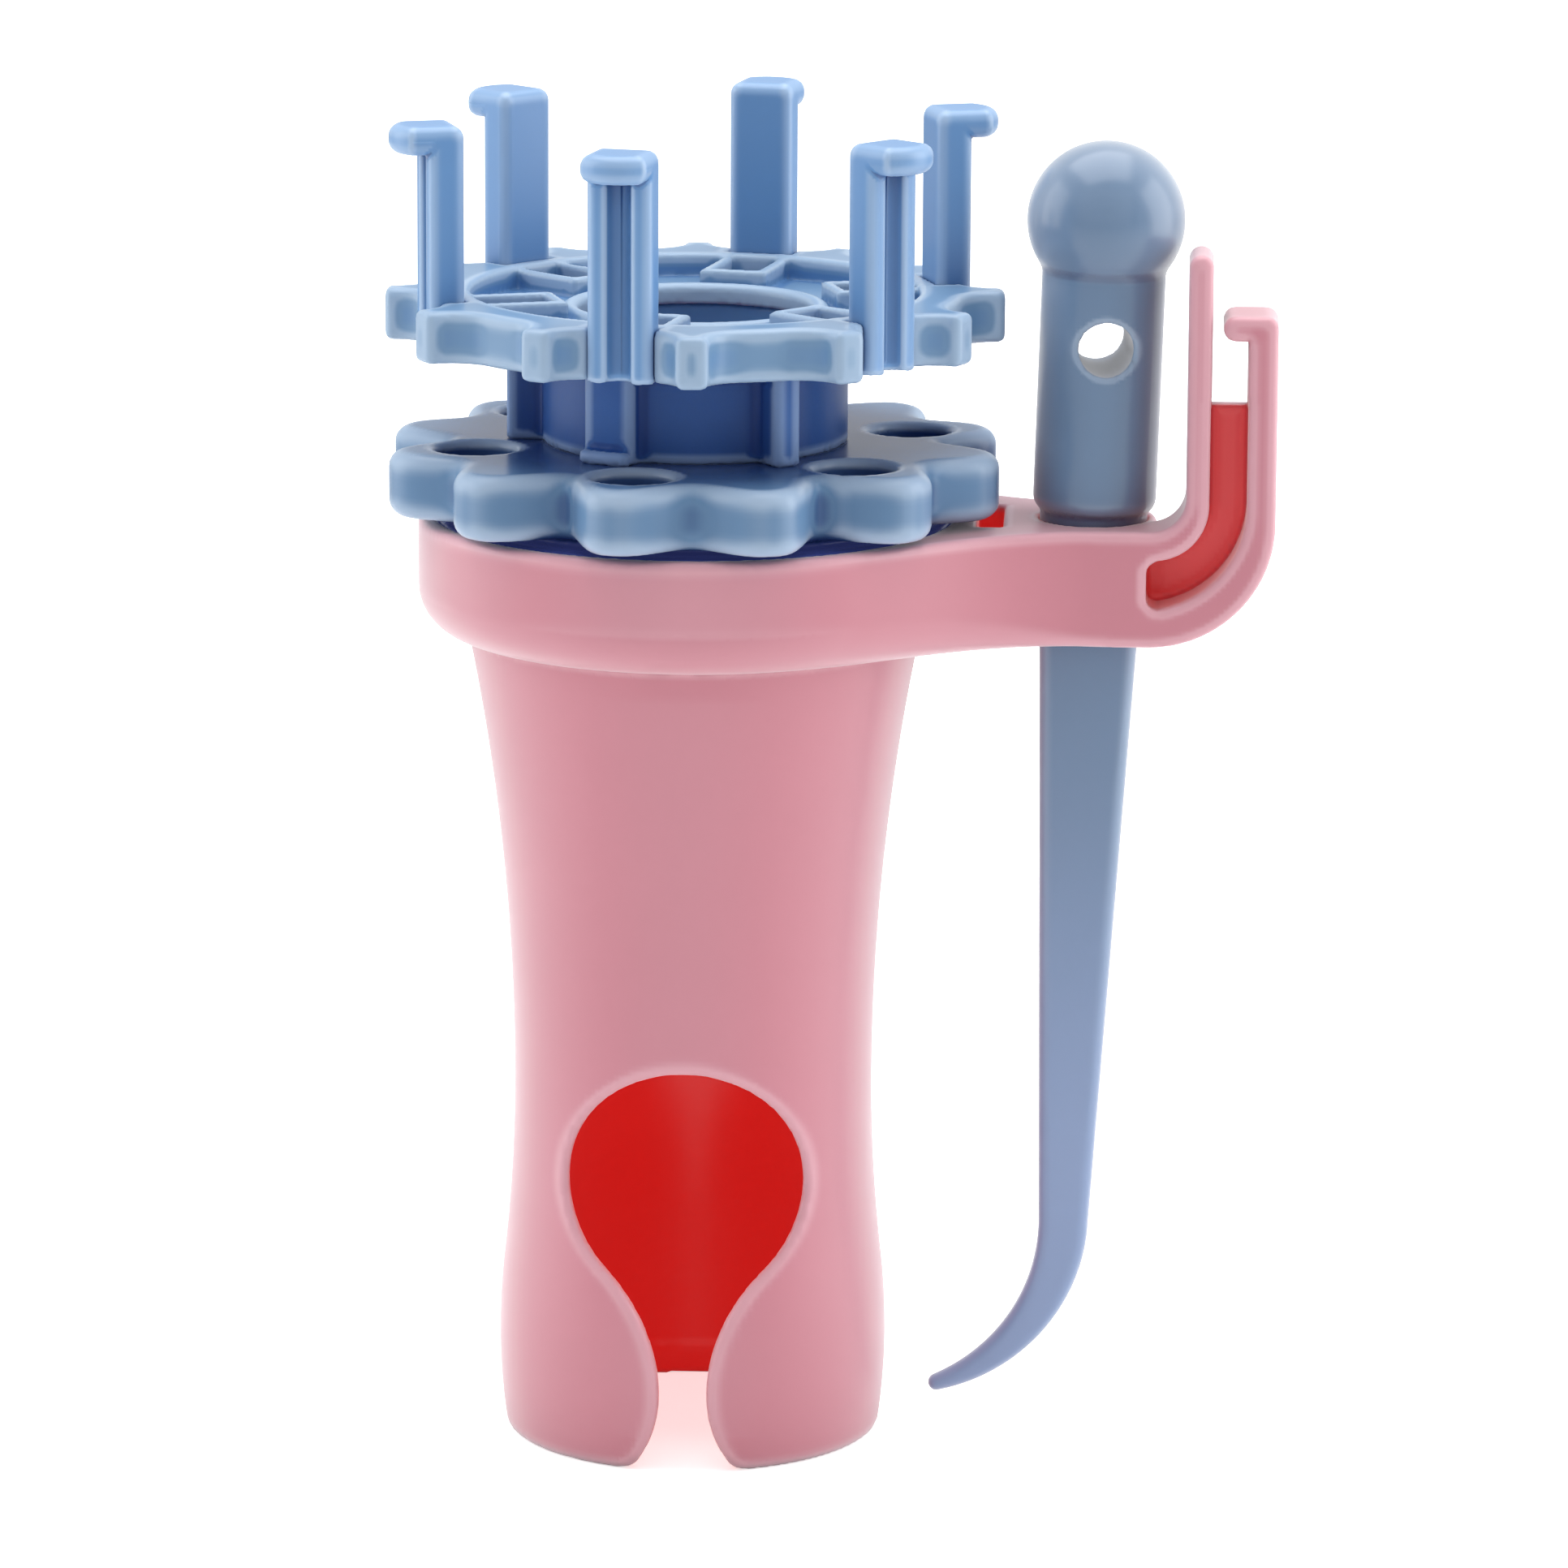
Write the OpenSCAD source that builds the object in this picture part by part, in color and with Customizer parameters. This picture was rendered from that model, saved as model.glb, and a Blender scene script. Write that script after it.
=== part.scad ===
// Knitting nancy: a hand-held French knitter with a turning head and a hooked pick.
// A waisted grip carries a collar with a side arm. The head (dial, hub, crown and hooked
// pegs) snaps into the collar and turns there. The pick hangs in a hole of the arm, beside
// the yarn guide. The knitted cord runs down through the head and out of the grip.
// Millimetres. Origin on the handle's axis at the base rim, +Z up, +X along the arm,
// -Y towards the cord window.

/* [Grip] */
// Height of the grip from the base rim to the collar
grip_h = 73.4; // [66:0.2:84]
// Radius of the waist, where the fingers close
waist_r = 16.5; // [15:0.1:17.5]
// Height of the waist above the base rim
waist_z = 33.5; // [31:0.5:38]
// Flare from the waist to the collar
top_flare = 3.6; // [2.8:0.1:4.4]
// Swell of the heel past the waist
heel_flare = 1.4; // [0.6:0.1:2.4]
// Height of the fullest part of the heel
heel_z = 9; // [7:0.5:12]
// Tuck of the base rim, in from the heel
rim_tuck = 0.7; // [0.3:0.1:1.5]
// Rounding of the base rim's outer edge
rim_edge = 0.8; // [0.3:0.1:1.2]
// Wall of the grip
grip_wall = 1.8; // [1.4:0.1:2.2]
// Height of the straight land inside the base rim
land_h = 3; // [2:0.5:5]
// Step from the grip's top down to its spigot in the collar
spigot_step = 0.6; // [0.3:0.1:0.8]

/* [Cord window] */
// Radius of the round window
window_r = 10.7; // [9:0.1:11.5]
// Height of the window's centre
window_z = 26.5; // [25:0.5:30]
// Gap at the narrowest place between the lips
neck_w = 4.3; // [4.1:0.1:6]
// Height of that neck
neck_z = 7.2; // [6:0.2:9]
// Width of the slot's mouth at the base rim
mouth_w = 9.5; // [7:0.1:11]

/* [Collar] */
// Outer radius of the collar
collar_r = 25.2; // [24.6:0.1:27]
// Height of the collar
collar_h = 12.8; // [12:0.1:15]
// Height of the collar's upright band
band_h = 7.8; // [6:0.1:9]
// Radius of the collar's swelling underside
underside_r = 11; // [8:0.5:20]
// Rounding of the collar's top edge
collar_edge = 0.8; // [0.3:0.1:1.2]
// Radius of the socket that the head turns in
socket_r = 23.6; // [23:0.1:24]
// Depth of the socket
socket_depth = 6; // [5:0.1:6.4]
// Thickness of the ledge that the head rests on
ledge_t = 2; // [1.5:0.1:2.5]

/* [Arm] */
// Width of the arm
arm_w = 16.4; // [15:0.1:18]
// Height of the arm, down from the collar's top
arm_h = 10.6; // [10:0.1:11.8]
// Radius of the blends between collar and arm
arm_blend_r = 12; // [8:0.5:16]
// End of the arm behind the guide, from the handle's axis
arm_end_x = 42.1; // [41.9:0.1:43.5]
// Radius of the arm's rear corner
arm_corner_r = 7; // [4:0.5:8]
// Width of the pocket in the arm's top
pocket_w = 2.4; // [2:0.1:3.4]
// Length of the pocket across the arm
pocket_l = 11; // [8:0.5:12]
// Depth of the pocket
pocket_depth = 8; // [4:0.5:8.5]
// Wall left between the collar and the pocket
pocket_wall = 0.6; // [0.5:0.1:1]

/* [Yarn guide] */
// Outer face of the guide, from the handle's axis
guide_x = 52.8; // [52.4:0.1:53.4]
// Outer radius of the guide's bend
bend_r = 11.4; // [10.8:0.1:11.6]
// Thickness of the guide's outer wall
guide_outer_t = 2.7; // [2:0.1:2.9]
// Thickness of the sole under the yarn channel
sole_t = 3.5; // [3:0.1:3.8]
// Width of the yarn channel in the upright
channel_w = 3.2; // [3:0.05:3.6]
// Height of the yarn channel at its inner end
channel_h = 4.4; // [4:0.1:4.8]
// Radius of the channel's bend along its outer side
channel_out_r = 9.5; // [8.5:0.1:9.9]
// Radius of the channel's bend along its inner side
channel_in_r = 5.1; // [4.6:0.1:5.3]
// Thickness of the guide's inner post
guide_inner_t = 2.2; // [2:0.05:2.4]
// Depth of the guide, back from the arm's front face
guide_d = 7; // [6:0.1:9]
// Thickness of the web behind the channel
web_t = 2; // [1.2:0.1:3]
// Inner end of the channel, from the handle's axis
channel_x = 41.2; // [41:0.1:41.5]
// Height of the web's top above the arm
web_rise = 11; // [8:0.1:14]
// Height of the inner post above the arm
post_rise = 25.3; // [22:0.1:28]
// Height of the outer wall and its hook above the arm
hook_rise = 19.8; // [17:0.1:21]
// Thickness of the guide's hook
guide_hook_t = 2.3; // [1.8:0.1:2.8]
// Gap between the hook's tip and the inner post
yarn_gap = 0.95; // [0.6:0.05:1.4]
// Fillet between the arm's top and the inner post
post_fillet_r = 3.2; // [2:0.1:3.4]

/* [Dial] */
// Radius over the dial's lobes
dial_r = 28.4; // [27.4:0.1:29]
// Thickness of the dial
dial_h = 6; // [5.4:0.1:7]
// Running gap between the collar's rim and the dial
dial_gap = 0.8; // [0.4:0.1:1.5]
// Depth of the notch between two pairs of lobes
deep_notch = 5.6; // [4:0.1:6]
// Depth of the notch inside a pair of lobes
shallow_notch = 3.8; // [2:0.1:4.5]
// Steepness of the notches
notch_power = 1.3; // [1:0.1:2]
// Rounding of the dial's edge
dial_edge = 1.3; // [1:0.1:2]
// Radius of the round recesses in the dial
recess_r = 3.7; // [3:0.1:4]
// Radius of the circle of recesses
recess_ring_r = 20.4; // [20:0.1:21]
// Depth of the recesses
recess_depth = 5; // [3:0.1:5]
// Set-back of the dial's neck, in from its notches
neck_inset = 0.5; // [0.3:0.1:1]
// Thickness of the flange that fills the collar's mouth
flange_t = 1.2; // [1:0.1:1.6]
// Thickness of the skirt that turns in the socket
skirt_t = 2; // [1.5:0.1:2.5]
// Thickness of the sleeve around the hub's stem
sleeve_t = 1.8; // [1.4:0.1:2.2]

/* [Hub] */
// Height of the hub between dial and crown
hub_h = 9.1; // [8:0.1:11]
// Radius of the hub's barrel
hub_r = 13.9; // [13.6:0.1:14.2]
// Radius of the hub's top flange, which holds the pegs' feet in the crown
hub_flange_r = 15.4; // [15:0.1:16]
// Thickness of that flange
hub_flange_t = 1.2; // [0.8:0.1:1.6]
// Radius over the hub's three legs
leg_r = 17.1; // [16:0.1:17.4]
// Width of a leg
leg_w = 2.6; // [2:0.1:3.2]
// Radius over the hub's clip
clip_r = 15.6; // [15:0.1:16]
// Width of the clip
clip_w = 5; // [4:0.1:6]
// Radius of the cord passage in the hub
hub_bore_r = 11.2; // [11:0.1:11.4]
// Outer radius of the stem that snaps into the collar
stem_r = 13; // [12.8:0.1:13.4]
// Radius of the hub's spigot in the crown
hub_spigot_r = 12.4; // [12.2:0.1:12.6]
// Height of that spigot
hub_spigot_h = 1.5; // [1:0.1:1.8]
// Reach of the snap barbs past the stem
barb_reach = 1.5; // [1.1:0.1:1.8]
// Height of the snap barbs
barb_h = 1.6; // [1.2:0.1:2]
// Width of the slots between the snap tongues
tongue_slot_w = 3; // [2:0.1:4]
// Height of those slots
tongue_slot_h = 9; // [6:0.1:12]

/* [Crown] */
// Thickness of the crown
crown_h = 4.7; // [4.2:0.1:5.5]
// Radius of the bays between the prongs
crown_r = 24.5; // [24:0.1:25]
// Radius over the prongs
prong_r = 28.1; // [27:0.1:29]
// Width of a prong
prong_w = 2.9; // [2.4:0.1:3.4]
// Fillet at a prong's root
prong_fillet_r = 3; // [2:0.1:3.2]
// Rounding of a prong's tip
prong_tip_r = 0.7; // [0.4:0.1:1]
// Radius of the dish in the crown's top
dish_r = 20.4; // [19.8:0.1:20.8]
// Depth of the dish
dish_depth = 2.1; // [1.6:0.1:2.4]
// Radius of the cord passage in the crown
passage_r = 10.6; // [9:0.1:11]
// Width of the rounded lip around the passage
lip_w = 1.6; // [1.2:0.1:1.8]
// Thickness of the ribs beside a peg's slot
slot_rib_t = 1; // [0.8:0.1:1.2]
// Height of those ribs
slot_rib_h = 1.8; // [1.2:0.1:2]
// Inner end of a peg's slot
slot_in_r = 13.6; // [13.4:0.1:15]

/* [Pegs] */
// Width of a peg
peg_w = 6; // [5:0.1:6.4]
// Radial thickness of a peg
peg_t = 3.3; // [2.8:0.1:3.6]
// Radius of a peg's inner face
peg_in_r = 22; // [21.8:0.1:22.4]
// Height of a peg above the crown
peg_h = 15.8; // [12:0.1:20]
// Rounding of a peg's upright edges
peg_edge = 0.8; // [0.5:0.1:1.2]
// Reach of the hook past the peg's outer face
hook_reach = 3; // [2:0.1:3.6]
// Radius of the hook's nose, seen from above
hook_nose_r = 4; // [3.6:0.1:5]
// Thickness of the hook
hook_t = 2.6; // [2:0.1:3.2]
// Rounding of the hook's top and tip
hook_round = 1.1; // [0.6:0.1:1.2]
// Width of the needle groove
groove_w = 2.2; // [1.6:0.1:2.6]
// Depth of the needle groove
groove_depth = 1.2; // [0.9:0.1:1.5]
// Width of a peg's foot
foot_w = 4.1; // [3.4:0.1:4.4]
// Thickness of a peg's foot
foot_t = 1.2; // [0.9:0.1:1.5]
// Angle at which the head is parked
head_turn = 2.5; // [0:0.5:60]

/* [Pick] */
// Place of the pick's hole along the arm
pick_x = 36.35; // [36:0.05:36.6]
// Lean of the pick, away from the head
pick_lean = 1.7; // [1:0.1:2]
// Radius of the pick's handle
handle_r = 5.6; // [5.3:0.1:5.8]
// Length of the handle, up to the ball's centre
handle_l = 27.3; // [24:0.1:32]
// Rounding of the handle's lower edge
handle_edge = 1.2; // [0.6:0.1:1.6]
// Radius of the ball
ball_r = 7.15; // [6.6:0.05:7.4]
// Radius of the eyelet
eyelet_r = 2.5; // [2:0.1:3]
// Height of the eyelet above the arm
eyelet_z = 16.2; // [12:0.1:18]
// Turn of the eyelet about the pick's axis
eyelet_turn = 6; // [0:1:20]
// Radius of the round shank in the arm
shank_r = 4.9; // [4.8:0.1:5.1]
// Width of the blade below the shank
blade_w = 8.9; // [8:0.1:9]
// Width of the blade where the hook begins
blade_end_w = 4.6; // [4:0.1:5.4]
// Thickness of the blade at the shank
blade_t = 4; // [3:0.1:4]
// Thickness of the blade at the tip
tip_t = 2.2; // [1.6:0.1:2.6]
// Distance from the arm's top down to the hook
blade_l = 66.5; // [60:0.5:68]
// Radius of the hook's curve
pick_hook_r = 17; // [14:0.5:18]
// Angle of the hook's curve
pick_hook_angle = 70; // [50:1:72]
// Width of the hook's tip
tip_w = 1.5; // [1:0.1:2]

/* [Fits] */
// Gap all round between fixed pieces that seat in one another
seat_fit = 0.05; // [0.02:0.01:0.1]
// Running clearance of the head's skirt and the pick's shank
run_fit = 0.05; // [0.02:0.01:0.1]
// Gap under the head and over its snap barbs
thrust_gap = 0.25; // [0.1:0.05:0.4]
// Gap between the stem and the ledge around it
stem_gap = 0.4; // [0.3:0.05:0.6]
// Gap between the pick's handle and the arm's top
rest_gap = 0.35; // [0.3:0.05:0.6]

/* [Hidden] */
$fn = 96;

// Extra length of a cut past the face it goes through
cut = 1;
// Overlap of solids that make up one piece
bond = 0.5;

top_r = waist_r + top_flare;
heel_r = waist_r + heel_flare;
base_r = heel_r - rim_tuck;
spigot_r = top_r - spigot_step;
grip_bore_r = top_r - grip_wall;

collar_top = grip_h + collar_h;
ledge_top = collar_top - socket_depth;
ledge_z = ledge_top - ledge_t;
stem_hole_r = stem_r + stem_gap;

dial_z = collar_top + dial_gap;
hub_z = dial_z + dial_h;
crown_z = hub_z + hub_h;
crown_top = crown_z + crown_h;
floor_top = crown_top - dish_depth;
peg_top = crown_top + peg_h;
peg_out_r = peg_in_r + peg_t;

dial_neck_r = dial_r - deep_notch - dial_edge - neck_inset;
skirt_r = socket_r - run_fit;
skirt_z = ledge_top + thrust_gap;
barb_top = ledge_z - thrust_gap;

pick_hole_r = shank_r + run_fit;
arm_z = collar_top - arm_h;
front_y = -arm_w / 2;
guide_back_y = front_y + guide_d;
bend_x = guide_x - bend_r;
channel_out = [guide_x - guide_outer_t, arm_z + sole_t];
channel_in = channel_out + [-channel_w, channel_h];
post_x = channel_in[0] - guide_inner_t;

PEG_COUNT = 6;
PRONG_COUNT = 2 * PEG_COUNT;
PEG_STEP = 360 / PEG_COUNT;
PRONG_STEP = 360 / PRONG_COUNT;
// The pegs stand in every other bay, half a bay past a prong
PEG_PHASE = PRONG_STEP / 2;
// Three legs and one clip on the hub
LEG_ANGLES = [-60, 60, 180];
CLIP_ANGLE = -120;
TONGUES = 4;
// Steps along a curved outline, around the dial and over its rounded edge
ARC_STEPS = 10;
PROFILE_STEPS = 36;
DIAL_STEPS = 96;
DIAL_EDGE_STEPS = 3;

PINK = "#DE96A5";
BLUE = "#8FB4DC";
HUB_BLUE = "#5F86BD";
PICK_BLUE = "#7F9CBF";

// Points along an arc, from angle a0 to angle a1
function arc(centre, r, a0, a1, steps) =
    [for (i = [0:steps]) let (a = a0 + (a1 - a0) * i / steps) centre + r * [cos(a), sin(a)]];

// Radius of the arc that leaves an upright tangent and moves dr sideways over dz
function sweep_r(dz, dr) = (dz * dz + dr * dr) / (2 * dr);

// Sideways move of that arc after a height of dz
function sag(r, dz) = r - sqrt(r * r - dz * dz);

// Outer radius of the grip: a flare above the waist, an S-curve down to the heel, a tucked rim
heel_share = 0.7;
s_curve_r = sweep_r(waist_z - heel_z, heel_flare);
s_curve_z = waist_z - heel_share * (waist_z - heel_z);
function grip_r(z) =
    z >= waist_z ? waist_r + sag(sweep_r(grip_h - waist_z, top_flare), z - waist_z)
    : z >= s_curve_z ? waist_r + sag(heel_share * s_curve_r, waist_z - z)
    : z >= heel_z ? heel_r - sag((1 - heel_share) * s_curve_r, z - heel_z)
    : heel_r - sag(sweep_r(heel_z, rim_tuck), heel_z - z);

module grip_outline() {
    steps = [for (i = [1:PROFILE_STEPS]) rim_edge + (grip_h - rim_edge) * i / PROFILE_STEPS];
    edge_r = grip_r(rim_edge) - rim_edge;
    polygon(concat(
        [[0, 0]],
        arc([edge_r, rim_edge], rim_edge, -90, 0, ARC_STEPS / 2),
        [for (z = steps) [grip_r(z), z]],
        [[spigot_r, grip_h], [spigot_r, ledge_z], [0, ledge_z]]
    ));
}

module grip_cavity() {
    steps = [for (i = [0:PROFILE_STEPS]) land_h + (grip_h - land_h) * i / PROFILE_STEPS];
    land_r = base_r - grip_wall;
    polygon(concat(
        [[0, -cut], [land_r, -cut], [land_r, land_h]],
        [for (z = steps) [grip_r(z) - grip_wall, z]],
        [[grip_bore_r, ledge_z + cut], [0, ledge_z + cut]]
    ));
}

// Keyhole: a round window whose ogee lips close to a neck and flare again at the base
lip_r = (pow(neck_w / 2, 2) + pow(window_z - neck_z, 2) - pow(window_r, 2)) / (2 * window_r - neck_w);
lip_share = window_r / (window_r + lip_r);
lip_x = lip_r + neck_w / 2;
lip_top_z = window_z - lip_share * (window_z - neck_z);
flare_r = sweep_r(neck_z, (mouth_w - neck_w) / 2);
module window_outline() {
    lip_top_x = lip_share * lip_x;
    translate([0, window_z]) circle(window_r);
    difference() {
        translate([-lip_top_x, neck_z]) square([2 * lip_top_x, lip_top_z - neck_z + bond]);
        for (side = [-1, 1]) translate([side * lip_x, neck_z]) circle(lip_r);
    }
    difference() {
        translate([-mouth_w / 2, -cut]) square([mouth_w, neck_z + cut]);
        for (side = [-1, 1]) translate([side * (flare_r + neck_w / 2), neck_z]) circle(flare_r);
    }
}

module grip() {
    color(PINK)
    difference() {
        rotate_extrude() grip_outline();
        rotate_extrude() grip_cavity();
        rotate([90, 0, 0]) linear_extrude(heel_r + cut) window_outline();
    }
}

// Collar, turned about the handle's axis
module collar_outline() {
    band_foot = [collar_r, collar_top - band_h];
    seat = [top_r, grip_h];
    chord = seat - band_foot;
    half = norm(chord) / 2;
    centre = (seat + band_foot) / 2
        + [chord[1], -chord[0]] / (2 * half) * sqrt(underside_r * underside_r - half * half);
    start = atan2(seat[1] - centre[1], seat[0] - centre[0]);
    end = atan2(band_foot[1] - centre[1], band_foot[0] - centre[0]);
    corner = [collar_r - collar_edge, collar_top - collar_edge];
    polygon(concat(
        [[0, grip_h]],
        arc(centre, underside_r, start, end, ARC_STEPS),
        arc(corner, collar_edge, 0, 90, ARC_STEPS / 2),
        [[0, collar_top]]
    ));
}

// Plan of the arm: a bar blended into the collar on both sides
module arm_plan() {
    blend_y = arm_w / 2 + arm_blend_r;
    blend_x = sqrt(pow(collar_r + arm_blend_r, 2) - blend_y * blend_y);
    touch = collar_r / (collar_r + arm_blend_r) * [blend_x, blend_y];
    translate([0, front_y]) square([bend_x, guide_d + bond]);
    difference() {
        translate([0, guide_back_y]) square([arm_end_x, arm_w / 2 - guide_back_y]);
        translate([arm_end_x - arm_corner_r, arm_w / 2 - arm_corner_r]) square(arm_corner_r + cut);
    }
    translate([arm_end_x - arm_corner_r, arm_w / 2 - arm_corner_r]) intersection() {
        circle(arm_corner_r);
        square(arm_corner_r);
    }
    for (side = [-1, 1]) difference() {
        polygon([[0, 0], [touch[0], side * touch[1]], [blend_x, side * arm_w / 2], [blend_x, 0]]);
        translate([blend_x, side * blend_y]) circle(arm_blend_r);
    }
}

// Side view of all that lies inside a bend: above its floor and back from its upright
module inside_bend(corner, r, x_from, z_to) {
    centre = corner + [-r, r];
    translate([x_from, centre[1]]) square([corner[0] - x_from, z_to - centre[1]]);
    if (centre[0] > x_from) translate([x_from, corner[1]]) square([centre[0] - x_from, r]);
    translate(centre) intersection() {
        circle(r);
        translate([max(0, x_from - centre[0]), -r]) square(r);
    }
}

// Side view of the yarn channel between its two bends
module channel_outline(z_to) {
    difference() {
        inside_bend(channel_out, channel_out_r, channel_x, z_to);
        inside_bend(channel_in, channel_in_r, channel_x - cut, z_to + cut);
    }
}

// Side view of the guide: inner post, web and outer wall with its hook
module guide_outline() {
    post_r = guide_inner_t / 2;
    post_top = collar_top + post_rise;
    hook_z = collar_top + hook_rise - guide_hook_t;
    hook_x = channel_in[0] + yarn_gap;
    corner_r = guide_hook_t / 2;
    difference() {
        inside_bend([guide_x, arm_z], bend_r, bend_x - bond, hook_z + corner_r);
        translate([channel_in[0], collar_top + web_rise])
            square([channel_w, hook_z + corner_r]);
        translate([bend_x - cut, collar_top]) square([channel_in[0] - bend_x + cut, hook_z + corner_r]);
    }
    translate([post_x, collar_top - bond]) square([guide_inner_t + bond, web_rise + bond]);
    translate([post_x, collar_top]) square([guide_inner_t, post_rise - post_r]);
    translate([post_x + post_r, post_top - post_r]) circle(post_r);
    translate([hook_x + corner_r, hook_z])
        square([guide_x - hook_x - 2 * corner_r, guide_hook_t]);
    for (x = [hook_x + corner_r, guide_x - corner_r]) translate([x, hook_z + corner_r]) circle(corner_r);
    difference() {
        translate([post_x - post_fillet_r, collar_top - bond])
            square([post_fillet_r + bond, post_fillet_r + bond]);
        translate([post_x - post_fillet_r, collar_top + post_fillet_r]) circle(post_fillet_r);
    }
}

// Extrudes a side view, drawn in X and Z, from one Y to another
module across(y_from, y_to) {
    translate([0, y_to, 0]) rotate([90, 0, 0]) linear_extrude(y_to - y_from) children();
}

module at_pick() {
    translate([pick_x, 0, collar_top]) rotate([0, pick_lean, 0]) children();
}

module collar_arm() {
    color(PINK)
    difference() {
        union() {
            rotate_extrude() collar_outline();
            translate([0, 0, arm_z]) linear_extrude(arm_h) arm_plan();
            across(front_y, guide_back_y) guide_outline();
        }
        // Socket for the head, hole for its stem, seat for the grip
        translate([0, 0, ledge_top]) cylinder(h = socket_depth + cut, r = socket_r);
        translate([0, 0, ledge_z - cut]) cylinder(h = ledge_t + 2 * cut, r = stem_hole_r);
        translate([0, 0, grip_h - cut]) cylinder(h = ledge_z - grip_h + cut, r = spigot_r + seat_fit);
        // Yarn channel, open to the front
        across(front_y - cut, guide_back_y - web_t) channel_outline(collar_top + web_rise + cut);
        translate([collar_r + pocket_wall, -pocket_l / 2, collar_top - pocket_depth])
            cube([pocket_w, pocket_l, pocket_depth + cut]);
        at_pick() translate([0, 0, -arm_h - 2 * cut]) cylinder(h = arm_h + 4 * cut, r = pick_hole_r);
    }
}

// Outline of the dial: notches of two depths take turns between the lobes
function notch_depth(a) =
    let (u = abs((a + PRONG_STEP) % PEG_STEP - PRONG_STEP))
    u < PEG_PHASE ? deep_notch * pow((1 + cos(u * 180 / PEG_PHASE)) / 2, notch_power)
    : shallow_notch * pow((1 + cos((PRONG_STEP - u) * 180 / PEG_PHASE)) / 2, notch_power);

// Lobed barrel with a rounded edge, about its mid-height: one ring of points per step of the
// edge, the outer two a little past the dial's faces
module lobed_barrel() {
    core = dial_h / 2 - dial_edge;
    round = arc([-dial_edge, core], dial_edge, 90, 0, DIAL_EDGE_STEPS);
    last = round[0] - round[1];
    upper = concat([round[0] + last * cut / last[1]], [for (i = [1:DIAL_EDGE_STEPS]) round[i]]);
    edge = concat(upper, [for (i = [DIAL_EDGE_STEPS:-1:0]) [upper[i][0], -upper[i][1]]]);
    points = [for (p = edge) for (i = [0:DIAL_STEPS - 1])
        let (a = 360 * i / DIAL_STEPS, r = dial_r - notch_depth(a) + p[0])
        [r * cos(a), r * sin(a), p[1]]];
    top = [for (i = [DIAL_STEPS - 1:-1:0]) i];
    bottom = [for (i = [0:DIAL_STEPS - 1]) (len(edge) - 1) * DIAL_STEPS + i];
    sides = [for (k = [0:len(edge) - 2]) for (i = [0:DIAL_STEPS - 1])
        let (j = (i + 1) % DIAL_STEPS, a = k * DIAL_STEPS, b = a + DIAL_STEPS)
        each [[a + i, a + j, b + i], [a + j, b + j, b + i]]];
    polyhedron(points = points, faces = concat([top, bottom], sides));
}

// The barrel, trimmed flat at the dial's faces
module lobed_disc() {
    intersection() {
        translate([0, 0, dial_z + dial_h / 2]) rotate(head_turn) lobed_barrel();
        translate([0, 0, dial_z]) cylinder(h = dial_h, r = dial_r + cut);
    }
}

// Skirt and flange that turn in the collar, and the neck that carries the lobed disc
module flange_outline() {
    neck_top = dial_z + dial_h / 2;
    polygon([
        [0, skirt_z], [skirt_r, skirt_z], [skirt_r, collar_top], [dial_neck_r, collar_top],
        [dial_neck_r, neck_top], [0, neck_top]
    ]);
}

module dial() {
    color(BLUE)
    difference() {
        union() {
            lobed_disc();
            rotate_extrude() flange_outline();
        }
        translate([0, 0, skirt_z - cut]) cylinder(h = hub_z - skirt_z + 2 * cut, r = stem_r + seat_fit);
        // The space between skirt and sleeve is open below
        translate([0, 0, skirt_z - cut]) difference() {
            cylinder(h = collar_top - flange_t - skirt_z + cut, r = skirt_r - skirt_t);
            cylinder(h = collar_top - flange_t - skirt_z + cut, r = stem_r + sleeve_t);
        }
        for (i = [0:PEG_COUNT - 1]) rotate(head_turn + PEG_PHASE + i * PEG_STEP)
            translate([recess_ring_r, 0, hub_z - recess_depth])
            cylinder(h = recess_depth + cut, r = recess_r);
    }
}

// Upright rib along +X, out from the hub's barrel
module hub_rib(r, w) {
    intersection() {
        translate([hub_r - bond, -w / 2, hub_z]) cube([r - hub_r + cut, w, hub_h]);
        translate([0, 0, hub_z]) cylinder(h = hub_h, r = r);
    }
}

// Spool between dial and crown, with a stem whose barbed tongues snap under the ledge
module hub() {
    stem_z = barb_top - barb_h;
    color(HUB_BLUE)
    difference() {
        union() {
            translate([0, 0, hub_z]) cylinder(h = hub_h, r = hub_r);
            translate([0, 0, crown_z - bond]) cylinder(h = hub_spigot_h + bond, r = hub_spigot_r);
            translate([0, 0, stem_z]) cylinder(h = hub_z - stem_z + bond, r = stem_r);
            rotate_extrude() polygon([
                [stem_r - bond, stem_z], [stem_r, stem_z], [stem_r + barb_reach, barb_top - barb_h / 2],
                [stem_r + barb_reach, barb_top], [stem_r - bond, barb_top]
            ]);
            translate([0, 0, crown_z - hub_flange_t]) cylinder(h = hub_flange_t, r = hub_flange_r);
            for (a = LEG_ANGLES) rotate(head_turn + a) hub_rib(leg_r, leg_w);
            rotate(head_turn + CLIP_ANGLE) hub_rib(clip_r, clip_w);
        }
        translate([0, 0, stem_z - cut]) cylinder(h = crown_z - stem_z + hub_spigot_h + 2 * cut, r = hub_bore_r);
        for (i = [0:TONGUES - 1]) rotate(head_turn + i * 360 / TONGUES)
            translate([0, -tongue_slot_w / 2, stem_z - cut])
            cube([stem_r + barb_reach + cut, tongue_slot_w, tongue_slot_h + cut]);
    }
}

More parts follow.
